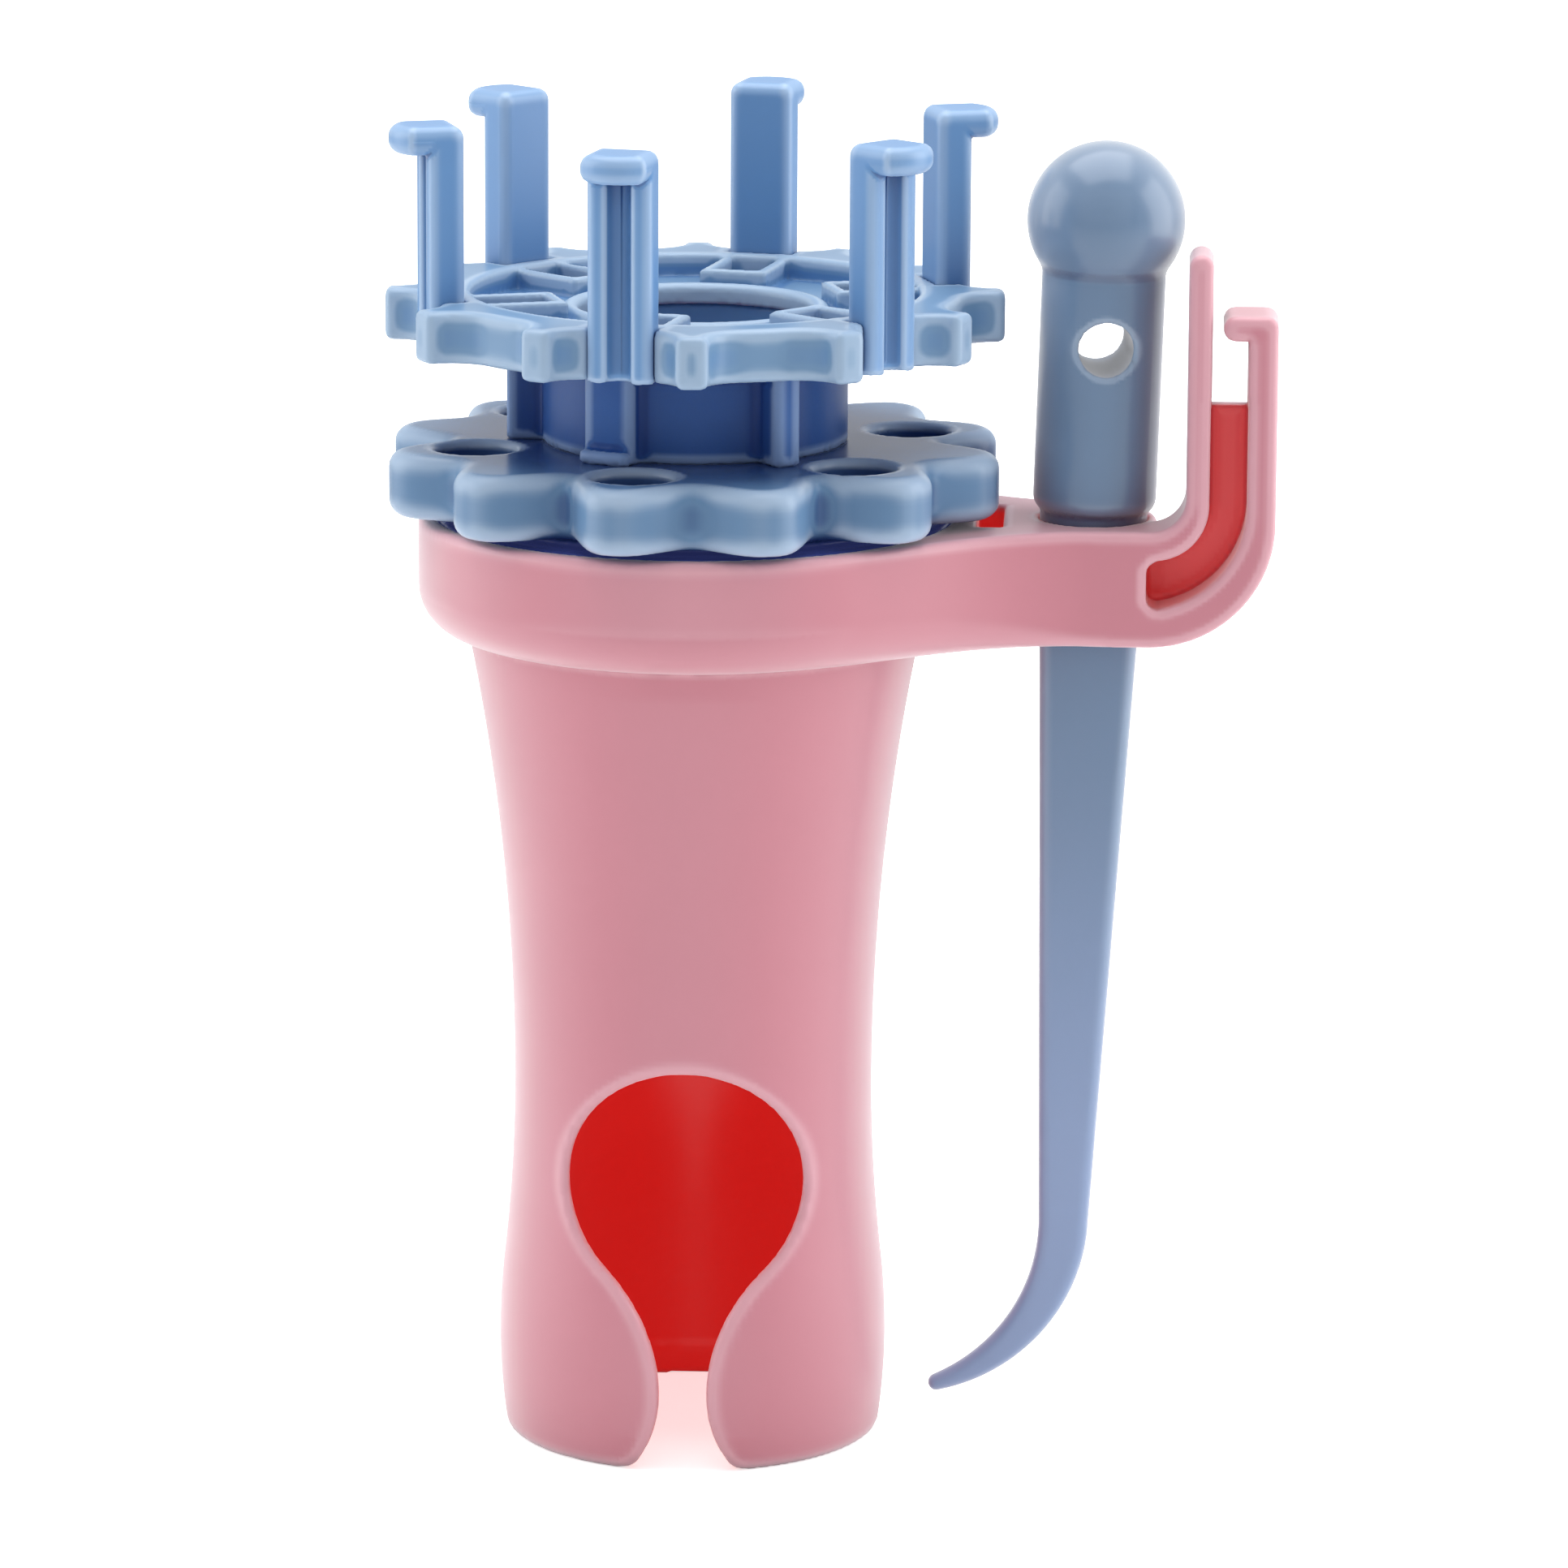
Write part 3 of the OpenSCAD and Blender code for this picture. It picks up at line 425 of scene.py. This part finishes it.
def dial_radius(a):
    """Radius of the dial's outline: notches of two depths take turns between the lobes."""
    u = np.abs((a + PRONG_STEP) % PEG_STEP - PRONG_STEP)
    deep = DEEP_NOTCH * ((1 + np.cos(u * math.pi / PEG_PHASE)) / 2) ** NOTCH_POWER
    shallow = SHALLOW_NOTCH * ((1 + np.cos((PRONG_STEP - u) * math.pi / PEG_PHASE)) / 2) ** NOTCH_POWER
    return DIAL_R - np.where(u < PEG_PHASE, deep, shallow)


def dial_field(x, y, z):
    rho = np.hypot(x, y)
    a = np.arctan2(y, x) - HEAD_TURN
    r = dial_radius(a)
    lean = (dial_radius(a + LEAN_STEP) - dial_radius(a - LEAN_STEP)) / (2 * LEAN_STEP * DIAL_R)
    disc = round_max((rho - r) / np.hypot(1, lean), slab(z, DIAL_Z, HUB_Z), DIAL_EDGE)
    u, v = folded(x, y, PEG_STEP, PEG_PHASE)
    recess = np.maximum(np.hypot(u - RECESS_RING_R, v) - RECESS_R, RECESS_Z - z)
    disc = round_cut(disc, recess, RECESS_EDGE)
    flange = round_max(rho - FLANGE_R, slab(z, SKIRT_Z, COLLAR_TOP), FLANGE_EDGE)
    hollow = np.maximum(slab(rho, STEM_R + SLEEVE_T, FLANGE_R - SKIRT_T), z - COLLAR_TOP + FLANGE_T)
    flange = np.maximum(flange, -hollow)
    neck = np.maximum(rho - DIAL_NECK_R, slab(z, COLLAR_TOP - 2 * LAP, DIAL_Z + 2 * LAP))
    body = np.minimum(disc, np.minimum(flange, neck))
    return np.maximum(body, STEM_R + SEAT_FIT - rho)


def dial_gap_shade_glow(x, y, z):
    """1 under the wheel, where the flange and the neck lie in a narrow gap, 0 elsewhere: the mask of
    the painted navy shade there, with its painted glow.
    """
    return ramp(DIAL_Z - GAP_BELOW - z, 0, GAP_FADE)


# Hub: a spool between dial and crown, with a stem whose barbed tongues snap into the collar

HUB_R, HUB_BORE_R, HUB_FLANGE_R, HUB_FLANGE_Z = 13.9, 11.2, 15.4, 100.9
LEG_R, LEG_HALF_W, LEG_PHASE = 17.1, 1.3, math.radians(60)
LEG_EDGE, LEG_FILLET, HUB_EDGE = 0.5, 0.4, 0.2
CLIP_R, CLIP_HALF_W, CLIP_ANGLE = 15.6, 2.5, math.radians(-120)
CLIP_EDGE, CLIP_FILLET = 0.4, 0.3
CLIP_FOOT_R, CLIP_FOOT_H, CLIP_FOOT_EDGE = 16.6, 1.2, 0.5
STEM_Z, BARB_TOP, BARB_REACH = 76.35, 77.95, 1.5
# Makes the barb's cone measure millimetres across its skin
BARB_CONE_SCALE = 0.47
SPIGOT_TOP, HUB_SPIGOT_R = 103.6, 12.4
TONGUE_STEP, TONGUE_SLOT_HALF_W, TONGUE_SLOT_TOP = math.radians(90), 1.5, 85.35
# Depth of the hub's wall, from the bore, that takes the bore's colour
BORE_SKIN, BORE_FADE = 0.5, 0.4


def hub_field(x, y, z):
    rho = np.hypot(x, y)
    along, across = folded(x, y, 2 * PEG_STEP, LEG_PHASE)
    leg = round_max(np.abs(across) - LEG_HALF_W, along - LEG_R, LEG_EDGE)
    body = round_min(rho - HUB_R, np.maximum(leg, HUB_BORE_R - along), LEG_FILLET)
    along, across = folded(x, y, 2 * math.pi, CLIP_ANGLE)
    clip = round_max(np.abs(across) - CLIP_HALF_W, rho - CLIP_R, CLIP_EDGE)
    body = round_min(body, np.maximum(clip, HUB_BORE_R - along), CLIP_FILLET)
    foot = round_max(np.abs(across) - CLIP_HALF_W, rho - CLIP_FOOT_R, CLIP_FOOT_EDGE)
    foot = round_max(foot, z - HUB_Z - CLIP_FOOT_H, CLIP_FOOT_EDGE)
    foot = np.maximum(foot, HUB_BORE_R - along)
    flange = np.maximum(rho - HUB_FLANGE_R, HUB_FLANGE_Z - z)
    body = np.minimum(body, np.minimum(foot, flange))
    body = round_max(body, slab(z, HUB_Z, CROWN_Z), HUB_EDGE)
    stem = np.maximum(rho - STEM_R, slab(z, STEM_Z, HUB_Z + LAP))
    lead = (BARB_TOP - STEM_Z) / 2
    barb = np.maximum(rho - STEM_R - BARB_REACH, slab(z, STEM_Z, BARB_TOP))
    cone = rho - STEM_R - BARB_REACH * (z - STEM_Z) / lead
    barb = np.maximum(barb, cone * BARB_CONE_SCALE)
    spigot = np.maximum(rho - HUB_SPIGOT_R, slab(z, CROWN_Z - LAP, SPIGOT_TOP))
    body = np.minimum(np.minimum(body, spigot), np.minimum(stem, barb))
    _, across = folded(x, y, TONGUE_STEP, 0)
    body = np.maximum(body, -np.maximum(np.abs(across) - TONGUE_SLOT_HALF_W, z - TONGUE_SLOT_TOP))
    return np.maximum(body, HUB_BORE_R - rho)


def hub_inside(x, y, z):
    """1 on the bore that shows through the cord passage, 0 elsewhere."""
    return ramp(HUB_BORE_R + BORE_SKIN - np.hypot(x, y), 0, BORE_FADE)


# Crown: a ring of prongs with a dish, slots for the pegs' feet and the cord passage

CROWN_R, PRONG_R, PRONG_HALF_W, PRONG_FILLET, PRONG_TIP = 24.5, 28.1, 1.45, 3.0, 0.7
DISH_R, DISH_EDGE, PASSAGE_R, LIP_R, LIP_FILLET = 20.4, 0.45, 10.6, 0.8, 0.4
SLOT_IN_R, SLOT_HALF_W, SLOT_EDGE = 13.6, 2.1, 0.3
SLOT_RIB_T, SLOT_RIB_H, RIB_EDGE, RIB_FILLET = 1.0, 1.8, 0.35, 0.3
PEG_IN_R, PEG_OUT_R, PEG_HALF_W = 22.0, 25.3, 3.0
FOOT_HALF_W, FOOT_T = 2.05, 1.2
CROWN_EDGE, SEAT_EDGE = 0.7, 0.25


def crown_field(x, y, z):
    rho = np.hypot(x, y)
    u, v = folded(x, y, PRONG_STEP, 0)
    prong = round_max(np.abs(v) - PRONG_HALF_W, u - PRONG_R, PRONG_TIP)
    plan = round_min(rho - CROWN_R, np.maximum(prong, DISH_R - u), PRONG_FILLET)
    body = round_max(plan, slab(z, CROWN_Z, CROWN_TOP), CROWN_EDGE)
    body = round_cut(body, np.maximum(rho - DISH_R, FLOOR_TOP - z), DISH_EDGE)
    u, v = folded(x, y, PEG_STEP, PEG_PHASE)
    rib_half_w = SLOT_HALF_W + SLOT_RIB_T
    rib = np.maximum(slab(u, SLOT_IN_R - SLOT_RIB_T, PEG_IN_R - SLOT_RIB_T), np.abs(v) - rib_half_w)
    rib = round_max(rib, slab(z, FLOOR_TOP - LAP, FLOOR_TOP + SLOT_RIB_H), RIB_EDGE)
    body = round_min(body, rib, RIB_FILLET)
    lip = np.hypot(rho - PASSAGE_R - LIP_R, z - FLOOR_TOP) - LIP_R
    body = round_min(body, lip, LIP_FILLET)
    body = np.maximum(body, PASSAGE_R - rho)
    slot = np.maximum(slab(u, SLOT_IN_R, DISH_R), np.abs(v) - SLOT_HALF_W)
    body = round_cut(body, np.maximum(slot, z - FLOOR_TOP - SLOT_RIB_H - 2 * LAP), SLOT_EDGE)
    tunnel = np.maximum(slab(u, SLOT_IN_R, PEG_IN_R), np.abs(v) - SLOT_HALF_W)
    body = np.maximum(body, -np.maximum(tunnel, z - CROWN_Z - FOOT_T - SEAT_FIT))
    seat = np.maximum(PEG_IN_R - SEAT_FIT - u, np.abs(v) - PEG_HALF_W - SEAT_FIT)
    body = round_cut(body, seat, SEAT_EDGE)
    counterbore = np.maximum(rho - HUB_SPIGOT_R - SEAT_FIT, z - SPIGOT_TOP - SEAT_FIT)
    return np.maximum(body, -counterbore)


# Peg along +X: a grooved post, an outward hook and a foot in the crown's slot

HOOK_REACH, HOOK_NOSE_R, PEG_HOOK_T, HOOK_ROUND = 3.0, 4.0, 2.6, 1.1
GROOVE_R, GROOVE_X, GROOVE_EDGE, PEG_CORNER = 1.1, 25.2, 0.4, 0.9


def peg_field(x, y, z):
    post = bar(x - (PEG_IN_R + PEG_OUT_R) / 2, y, (PEG_OUT_R - PEG_IN_R) / 2, PEG_HALF_W, PEG_CORNER)
    post = np.maximum(post, slab(z, CROWN_Z, PEG_TOP - HOOK_ROUND))
    tip = PEG_OUT_R + HOOK_REACH
    hook = bar(x - (PEG_IN_R + tip) / 2, y, (tip - PEG_IN_R) / 2, PEG_HALF_W, PEG_CORNER)
    hook = np.maximum(hook, np.hypot(np.maximum(x - tip + HOOK_NOSE_R, 0), y) - HOOK_NOSE_R)
    hook = round_max(hook, slab(z, PEG_TOP - PEG_HOOK_T, PEG_TOP), HOOK_ROUND)
    groove = np.where(x < GROOVE_X, np.hypot(x - GROOVE_X, y), np.abs(y)) - GROOVE_R
    groove = np.maximum(groove, z - PEG_TOP + PEG_HOOK_T)
    body = np.minimum(round_cut(post, groove, GROOVE_EDGE), hook)
    foot = np.maximum(slab(x, SLOT_IN_R + SEAT_FIT, PEG_IN_R + LAP), np.abs(y) - FOOT_HALF_W)
    return np.minimum(body, np.maximum(foot, slab(z, CROWN_Z, CROWN_Z + FOOT_T)))


# Pick: ball, handle with an eyelet, shank and a hooked blade, in its own upright frame

HANDLE_R, HANDLE_L, HANDLE_EDGE, BALL_R, BALL_FILLET = 5.6, 27.3, 1.7, 7.15, 0.3
EYELET_R, EYELET_Z, EYELET_TURN, EYELET_EDGE = 2.5, 16.2, math.radians(6), 0.2
SHANK_R, SHANK_L, REST_GAP = 4.9, 10.6, 0.35
BLADE_HALF_W, BLADE_END_HALF_W, BLADE_L, TAPER_GAP = 4.45, 2.3, 66.5, 1.0
BLADE_HALF_T, TIP_HALF_T, TIP_Z, BLADE_EDGE = 2.0, 1.1, -85.0, 1.0
PICK_HOOK_R, PICK_HOOK_ANGLE, TIP_HALF_W, HOOK_TAPER = 17.0, math.radians(70), 0.75, 1.5


def blade_outline(x, z):
    share = np.clip((-SHANK_L - TAPER_GAP - z) / (BLADE_L - SHANK_L - TAPER_GAP), 0, 1)
    straight = np.abs(x) - BLADE_HALF_W - (BLADE_END_HALF_W - BLADE_HALF_W) * share
    out, down = x + PICK_HOOK_R, -z - BLADE_L
    t = np.arctan2(down, out) / PICK_HOOK_ANGLE
    half_w = BLADE_END_HALF_W - (BLADE_END_HALF_W - TIP_HALF_W) * np.clip(t, 0, 1) ** HOOK_TAPER
    hooked = np.abs(np.hypot(out, down) - PICK_HOOK_R) - half_w
    tip_out = PICK_HOOK_R * math.cos(PICK_HOOK_ANGLE)
    tip_down = PICK_HOOK_R * math.sin(PICK_HOOK_ANGLE)
    tip = np.hypot(out - tip_out, down - tip_down) - TIP_HALF_W
    return np.where(z > -BLADE_L, straight, np.where(t > 1, tip, hooked))


def pick_field(x, y, z):
    rho = np.hypot(x, y)
    ball = np.hypot(rho, z - HANDLE_L) - BALL_R
    handle = np.maximum(round_max(rho - HANDLE_R, REST_GAP - z, HANDLE_EDGE), z - HANDLE_L)
    body = round_min(ball, handle, BALL_FILLET)
    across = x * math.cos(EYELET_TURN) + y * math.sin(EYELET_TURN)
    body = round_cut(body, np.hypot(across, z - EYELET_Z) - EYELET_R, EYELET_EDGE)
    shank = np.maximum(rho - SHANK_R, slab(z, -SHANK_L, REST_GAP + 2 * LAP))
    half_t = BLADE_HALF_T + (TIP_HALF_T - BLADE_HALF_T) * z / TIP_Z
    blade = round_max(blade_outline(x, z), np.abs(y) - half_t, BLADE_EDGE)
    blade = np.maximum(blade, z + SHANK_L - LAP)
    return np.minimum(np.minimum(body, shank), blade)


def pick_blade(x, y, z):
    """0 on the handle, 1 at the blade's lower end, which has a tint of its own."""
    return ramp(-z, SHANK_L, BLADE_L)


def lean_pick(points):
    turn = np.array(Matrix.Rotation(PICK_LEAN, 3, "Y"))
    return points @ turn.T + np.array([PICK_X, 0, COLLAR_TOP])


# Materials

def linear(r, g, b):
    """A colour as read from the picture, 0 to 255, in linear light."""
    shares = (r / 255, g / 255, b / 255)
    return tuple(c / 12.92 if c <= 0.04045 else ((c + 0.055) / 1.055) ** 2.4 for c in shares)


class Nodes:
    """A material's node tree, with short ways to add and join nodes."""

    def __init__(self, name):
        self.material = bpy.data.materials.new(name)
        self.material.use_nodes = True
        self.tree = self.material.node_tree
        self.shader = self.tree.nodes["Principled BSDF"]

    def add(self, kind, inputs=None, **settings):
        node = self.tree.nodes.new("ShaderNode" + kind)
        for key, value in settings.items():
            setattr(node, key, value)
        for key, value in (inputs or {}).items():
            self.put(value, node.inputs[key])
        return node

    def put(self, value, socket):
        if isinstance(value, bpy.types.NodeSocket):
            self.tree.links.new(value, socket)
        else:
            socket.default_value = value

    def mask(self, source, low, high, to_low=0.0, to_high=1.0):
        node = self.add("MapRange", {
            "Value": source, "From Min": low, "From Max": high, "To Min": to_low, "To Max": to_high,
        }, interpolation_type="SMOOTHSTEP")
        return node.outputs["Result"]

    def mix(self, share, a, b):
        node = self.add("Mix", data_type="RGBA")
        for socket, value in ((node.inputs[0], share), (node.inputs[6], a), (node.inputs[7], b)):
            self.put(value, socket)
        return node.outputs[2]

    def attribute(self, name):
        return self.add("Attribute", attribute_name=name).outputs["Fac"]

    def noise(self, scale, detail):
        place = self.add("TexCoord").outputs["Object"]
        node = self.add("TexNoise", {"Vector": place, "Scale": scale, "Detail": detail})
        return node.outputs["Fac"]


def rgba(colour):
    return (*linear(*colour), 1.0)


# Reaches and heights in metres; the rest are shares, and scales of the noise
FLOW_SCALE, FLOW_SHADE = 45.0, 0.985
POLISH_SCALE, POLISH_RANGE = 60.0, 0.06
WAVE_SCALE, WAVE_STRENGTH, WAVE_HEIGHT = 70.0, 0.02, 0.0005
NOISE_LOW, NOISE_HIGH = 0.3, 0.7
# Painted shade: occlusion within a reach, and concave fillets, mix in a darker colour
SHADE_REACH, SHADE_FULL_AO, SHADE_NONE_AO = 0.016, 0.1, 0.8
CONTACT_SHADE_REACH, CONTACT_SHADE_FULL_AO, CONTACT_SHADE_NONE_AO, CONTACT_SHADE_SHARE = 0.004, 0.1, 0.65, 0.6
FILLET_SHADE_FROM, FILLET_SHADE_FULL, FILLET_SHADE_SHARE = -0.1, -0.8, 0.6
# Convexity at which the painted highlight on edges is full
HIGHLIGHT_FULL = 0.9
SHEEN_ROUGHNESS = 0.5


def plastic(name, mid, highlight_colour, deep, highlight_share, shade_share, sheen=0.0, specular=0.5, rough=0.28,
            inside=None, glow=0.0, gap_shade=None):
    """Moulded plastic: a painted highlight on convex edges, painted shade in hollows, narrow gaps and
    fillets, a painted glow on inner faces where glow is set, faint flow marks and uneven polish.
    """
    n = Nodes(name)
    flow = n.mask(n.noise(FLOW_SCALE, 1.0), NOISE_LOW, NOISE_HIGH)
    colour = n.mix(flow, rgba(mid), rgba([FLOW_SHADE * c for c in mid]))
    # Painted shade in hollows, from occlusion
    hollow = n.add("AmbientOcclusion", {"Distance": SHADE_REACH}, samples=16).outputs["AO"]
    hollow = n.mask(hollow, SHADE_FULL_AO, SHADE_NONE_AO, shade_share, 0.0)
    colour = n.mix(hollow, colour, rgba(deep))
    # Painted contact shade in narrow gaps, from occlusion at a short reach
    if gap_shade:
        narrow = n.add("AmbientOcclusion", {"Distance": CONTACT_SHADE_REACH}, samples=12).outputs["AO"]
        colour = n.mix(n.mask(narrow, CONTACT_SHADE_FULL_AO, CONTACT_SHADE_NONE_AO, CONTACT_SHADE_SHARE, 0.0), colour, rgba(gap_shade))
    edge = n.attribute("edge")
    # Painted shade in concave fillets
    fillet_shade = n.mask(edge, FILLET_SHADE_FROM, FILLET_SHADE_FULL, 0.0, FILLET_SHADE_SHARE)
    colour = n.mix(fillet_shade, colour, rgba(deep))
    # Painted highlight on convex edges
    colour = n.mix(n.mask(edge, 0.0, HIGHLIGHT_FULL, 0.0, highlight_share), colour, rgba(highlight_colour))
    s = n.shader.inputs
    # Where glow is set, the inside colour and its emission are a painted glow; without glow it is a
    # tint
    if inside:
        within = n.attribute("inside")
        colour = n.mix(within, colour, rgba(inside))
        n.put(rgba(inside), s["Emission Color"])
        n.put(n.mask(within, 0.0, 1.0, 0.0, glow), s["Emission Strength"])
    n.put(colour, s["Base Color"])
    polish = n.mask(n.noise(POLISH_SCALE, 2.0), NOISE_LOW, NOISE_HIGH, rough, rough + POLISH_RANGE)
    n.put(polish, s["Roughness"])
    n.put(specular, s["Specular IOR Level"])
    n.put(sheen, s["Sheen Weight"])
    n.put(SHEEN_ROUGHNESS, s["Sheen Roughness"])
    height = n.noise(WAVE_SCALE, 1.0)
    wave = n.add("Bump", {"Height": height, "Strength": WAVE_STRENGTH, "Distance": WAVE_HEIGHT})
    n.put(wave.outputs["Normal"], s["Normal"])
    return n.material


# Each plastic: its own colour, a painted highlight colour for edges, a painted shade colour for
# hollows and fillets, and their shares; the gap colour is a painted contact shade, and the pink's and
# the dial's inside colours with glow are painted glow
PINK = plastic("pink_plastic", (194, 122, 135), (238, 198, 207), (156, 76, 90), 0.35, 0.45,
               sheen=0.6, specular=0.4, inside=(236, 46, 42), glow=0.15, gap_shade=(78, 44, 68))
DIAL_BLUE = plastic("dial_plastic", (98, 130, 164), (194, 210, 228), (34, 60, 116), 0.5, 1.0,
                    specular=0.2, rough=0.18, inside=(46, 54, 108), glow=0.4)
CROWN_BLUE = plastic("crown_plastic", (110, 144, 178), (194, 211, 228), (72, 118, 174), 0.4, 0.5,
                     specular=0.4)
PEG_BLUE = plastic("peg_plastic", (98, 143, 192), (198, 216, 234), (36, 62, 120), 0.45, 0.8)
# The hub's own blue is painted darker, as painted shade under the crown
HUB_SHADED_BLUE = plastic("hub_plastic", (70, 118, 188), (170, 194, 226), (30, 58, 126), 0.5, 0.85,
                   specular=0.2, inside=(98, 138, 186))
PICK_BLUE = plastic("pick_plastic", (94, 121, 152), (190, 206, 224), (56, 54, 90), 0.3, 0.7,
                    sheen=0.8, specular=0.6, rough=0.2, inside=(128, 149, 187), gap_shade=(46, 40, 66))


# Pieces

def finish_piece(piece, node, body, material):
    piece.data.materials.append(material)
    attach(piece, body)
    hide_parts(node)


def box_mm(node):
    low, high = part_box(node)
    return np.array(low) / MM, np.array(high) / MM


finish_piece(
    moulded("grip_shell", grip_field, *box_mm("grip"), step=0.55, inside=grip_red_glow),
    "grip", "handle", PINK)
finish_piece(
    moulded("collar_and_arm", collar_arm_field, *box_mm("collar_arm"), step=0.42,
            inside=collar_arm_red_glow),
    "collar_arm", "handle", PINK)
finish_piece(
    moulded("lobed_dial", dial_field, *box_mm("dial"), step=0.45, inside=dial_gap_shade_glow),
    "dial", "head", DIAL_BLUE)
finish_piece(
    moulded("spool_hub", hub_field, *box_mm("hub"), step=0.45, inside=hub_inside),
    "hub", "head", HUB_SHADED_BLUE)
finish_piece(
    moulded("pronged_crown", crown_field, *box_mm("crown"), step=0.34, edge_reach=1.3),
    "crown", "head", CROWN_BLUE)

PEG_BOX = ((SLOT_IN_R, -PEG_HALF_W, CROWN_Z), (PEG_OUT_R + HOOK_REACH, PEG_HALF_W, PEG_TOP))
for number in range(6):
    turn = np.array(Matrix.Rotation(HEAD_TURN + PEG_PHASE + number * PEG_STEP, 3, "Z"))
    peg = moulded(f"hooked_peg_{number + 1}", peg_field, *PEG_BOX, step=0.3,
                  place=lambda p: p @ turn.T, edge_reach=0.5)
    finish_piece(peg, f"peg_{number + 1}", "head", PEG_BLUE)

PICK_BOX = ((-PICK_HOOK_R, -BALL_R, TIP_Z), (BALL_R, BALL_R, HANDLE_L + BALL_R))
finish_piece(
    moulded("hooked_pick", pick_field, *PICK_BOX, step=0.36, inside=pick_blade,
            place=lean_pick, edge_reach=0.6),
    "pick", "pick", PICK_BLUE)


# Stage: pale floor, white surround, soft light

AIM = Vector((0.01, 0, 0.07))
SHADOW_R, CLEAR_R, SHADOW_GLOW = 0.02, 0.14, 0.6
# Light of the surround: how far towards the back, and its strength there
FRONT_DIM, BACK_BRIGHT = (-0.85, 0.12), (0.2, 0.85)


def floor():
    """White, and lit up a little to the camera, so that only the shadow near the part stays."""
    half = 2.0
    corners = [(-half, -half, 0), (half, -half, 0), (half, half, 0), (-half, half, 0)]
    mesh = bpy.data.meshes.new("floor")
    mesh.from_pydata(corners, [], [(0, 1, 2, 3)])
    piece = bpy.data.objects.new("floor", mesh)
    bpy.context.scene.collection.objects.link(piece)
    n = Nodes("floor_white")
    n.put(rgba((250, 250, 250)), n.shader.inputs["Base Color"])
    n.put(0.9, n.shader.inputs["Roughness"])
    place = n.add("TexCoord").outputs["Object"]
    away = n.add("VectorMath", {0: place}, operation="LENGTH").outputs["Value"]
    seen = n.add("LightPath").outputs["Is Camera Ray"]
    lit = n.mask(away, SHADOW_R, CLEAR_R, SHADOW_GLOW, 1.0)
    glow = n.add("Math", {0: seen, 1: lit}, operation="MULTIPLY")
    n.put((1, 1, 1, 1), n.shader.inputs["Emission Color"])
    n.put(glow.outputs["Value"], n.shader.inputs["Emission Strength"])
    mesh.materials.append(n.material)


def surround():
    """White to the camera; as light and in reflections, bright behind the part and dim in front."""
    world = bpy.data.worlds.new("surround")
    world.use_nodes = True
    bpy.context.scene.world = world
    nodes, links = world.node_tree.nodes, world.node_tree.links
    path = nodes.new("ShaderNodeLightPath")
    seen = nodes.new("ShaderNodeMath")
    seen.operation = "MAXIMUM"
    links.new(path.outputs["Is Camera Ray"], seen.inputs[0])
    links.new(path.outputs["Is Transmission Ray"], seen.inputs[1])
    way = nodes.new("ShaderNodeSeparateXYZ")
    links.new(nodes.new("ShaderNodeTexCoord").outputs["Generated"], way.inputs[0])
    fade = nodes.new("ShaderNodeMapRange")
    for end, (y, strength) in (("Min", FRONT_DIM), ("Max", BACK_BRIGHT)):
        fade.inputs["From " + end].default_value = y
        fade.inputs["To " + end].default_value = strength
    links.new(way.outputs["Y"], fade.inputs["Value"])
    light = nodes["Background"]
    light.inputs["Color"].default_value = (0.96, 0.98, 1.0, 1)
    links.new(fade.outputs["Result"], light.inputs["Strength"])
    white = nodes.new("ShaderNodeBackground")
    white.inputs["Color"].default_value = (1, 1, 1, 1)
    mix = nodes.new("ShaderNodeMixShader")
    links.new(seen.outputs[0], mix.inputs[0])
    links.new(light.outputs[0], mix.inputs[1])
    links.new(white.outputs[0], mix.inputs[2])
    links.new(mix.outputs[0], nodes["World Output"].inputs["Surface"])


def softbox(name, place, size, power):
    data = bpy.data.lights.new(name, "AREA")
    data.shape = "RECTANGLE"
    data.size, data.size_y = size
    data.energy = power
    lamp = bpy.data.objects.new(name, data)
    lamp.location = place
    lamp.rotation_euler = (AIM - Vector(place)).to_track_quat("-Z", "Y").to_euler()
    bpy.context.scene.collection.objects.link(lamp)


floor()
surround()
softbox("left_box", (-0.45, 0.0, 0.2), (0.35, 0.5), 1.0)
softbox("right_box", (0.47, 0.0, 0.2), (0.35, 0.5), 1.4)
softbox("top_box", (0.0, 0.05, 0.55), (0.5, 0.5), 2.1)
softbox("front_box", (0.0, -0.68, 0.45), (1.2, 0.8), 1.9)


# Camera, as fitted to the picture

CAMERA_MM = (41.4, -758.9, 227.4)
CAMERA_PITCH, CAMERA_AZIMUTH, CAMERA_ROLL = math.radians(12.365), math.radians(2.5), 0.005
FOCAL_PX, SENSOR_MM = 10437, 36
camera_data = bpy.data.cameras.new("camera")
camera_data.sensor_width = SENSOR_MM
camera_data.lens = FOCAL_PX / IMAGE_PX * SENSOR_MM
camera = bpy.data.objects.new("camera", camera_data)
aim = Euler((math.pi / 2 - CAMERA_PITCH, 0, CAMERA_AZIMUTH)).to_matrix()
camera.rotation_euler = (aim @ Matrix.Rotation(CAMERA_ROLL, 3, "Z")).to_euler()
camera.location = Vector(CAMERA_MM) * MM
bpy.context.scene.collection.objects.link(camera)
bpy.context.scene.camera = camera
bpy.context.scene.view_settings.view_transform = "Standard"
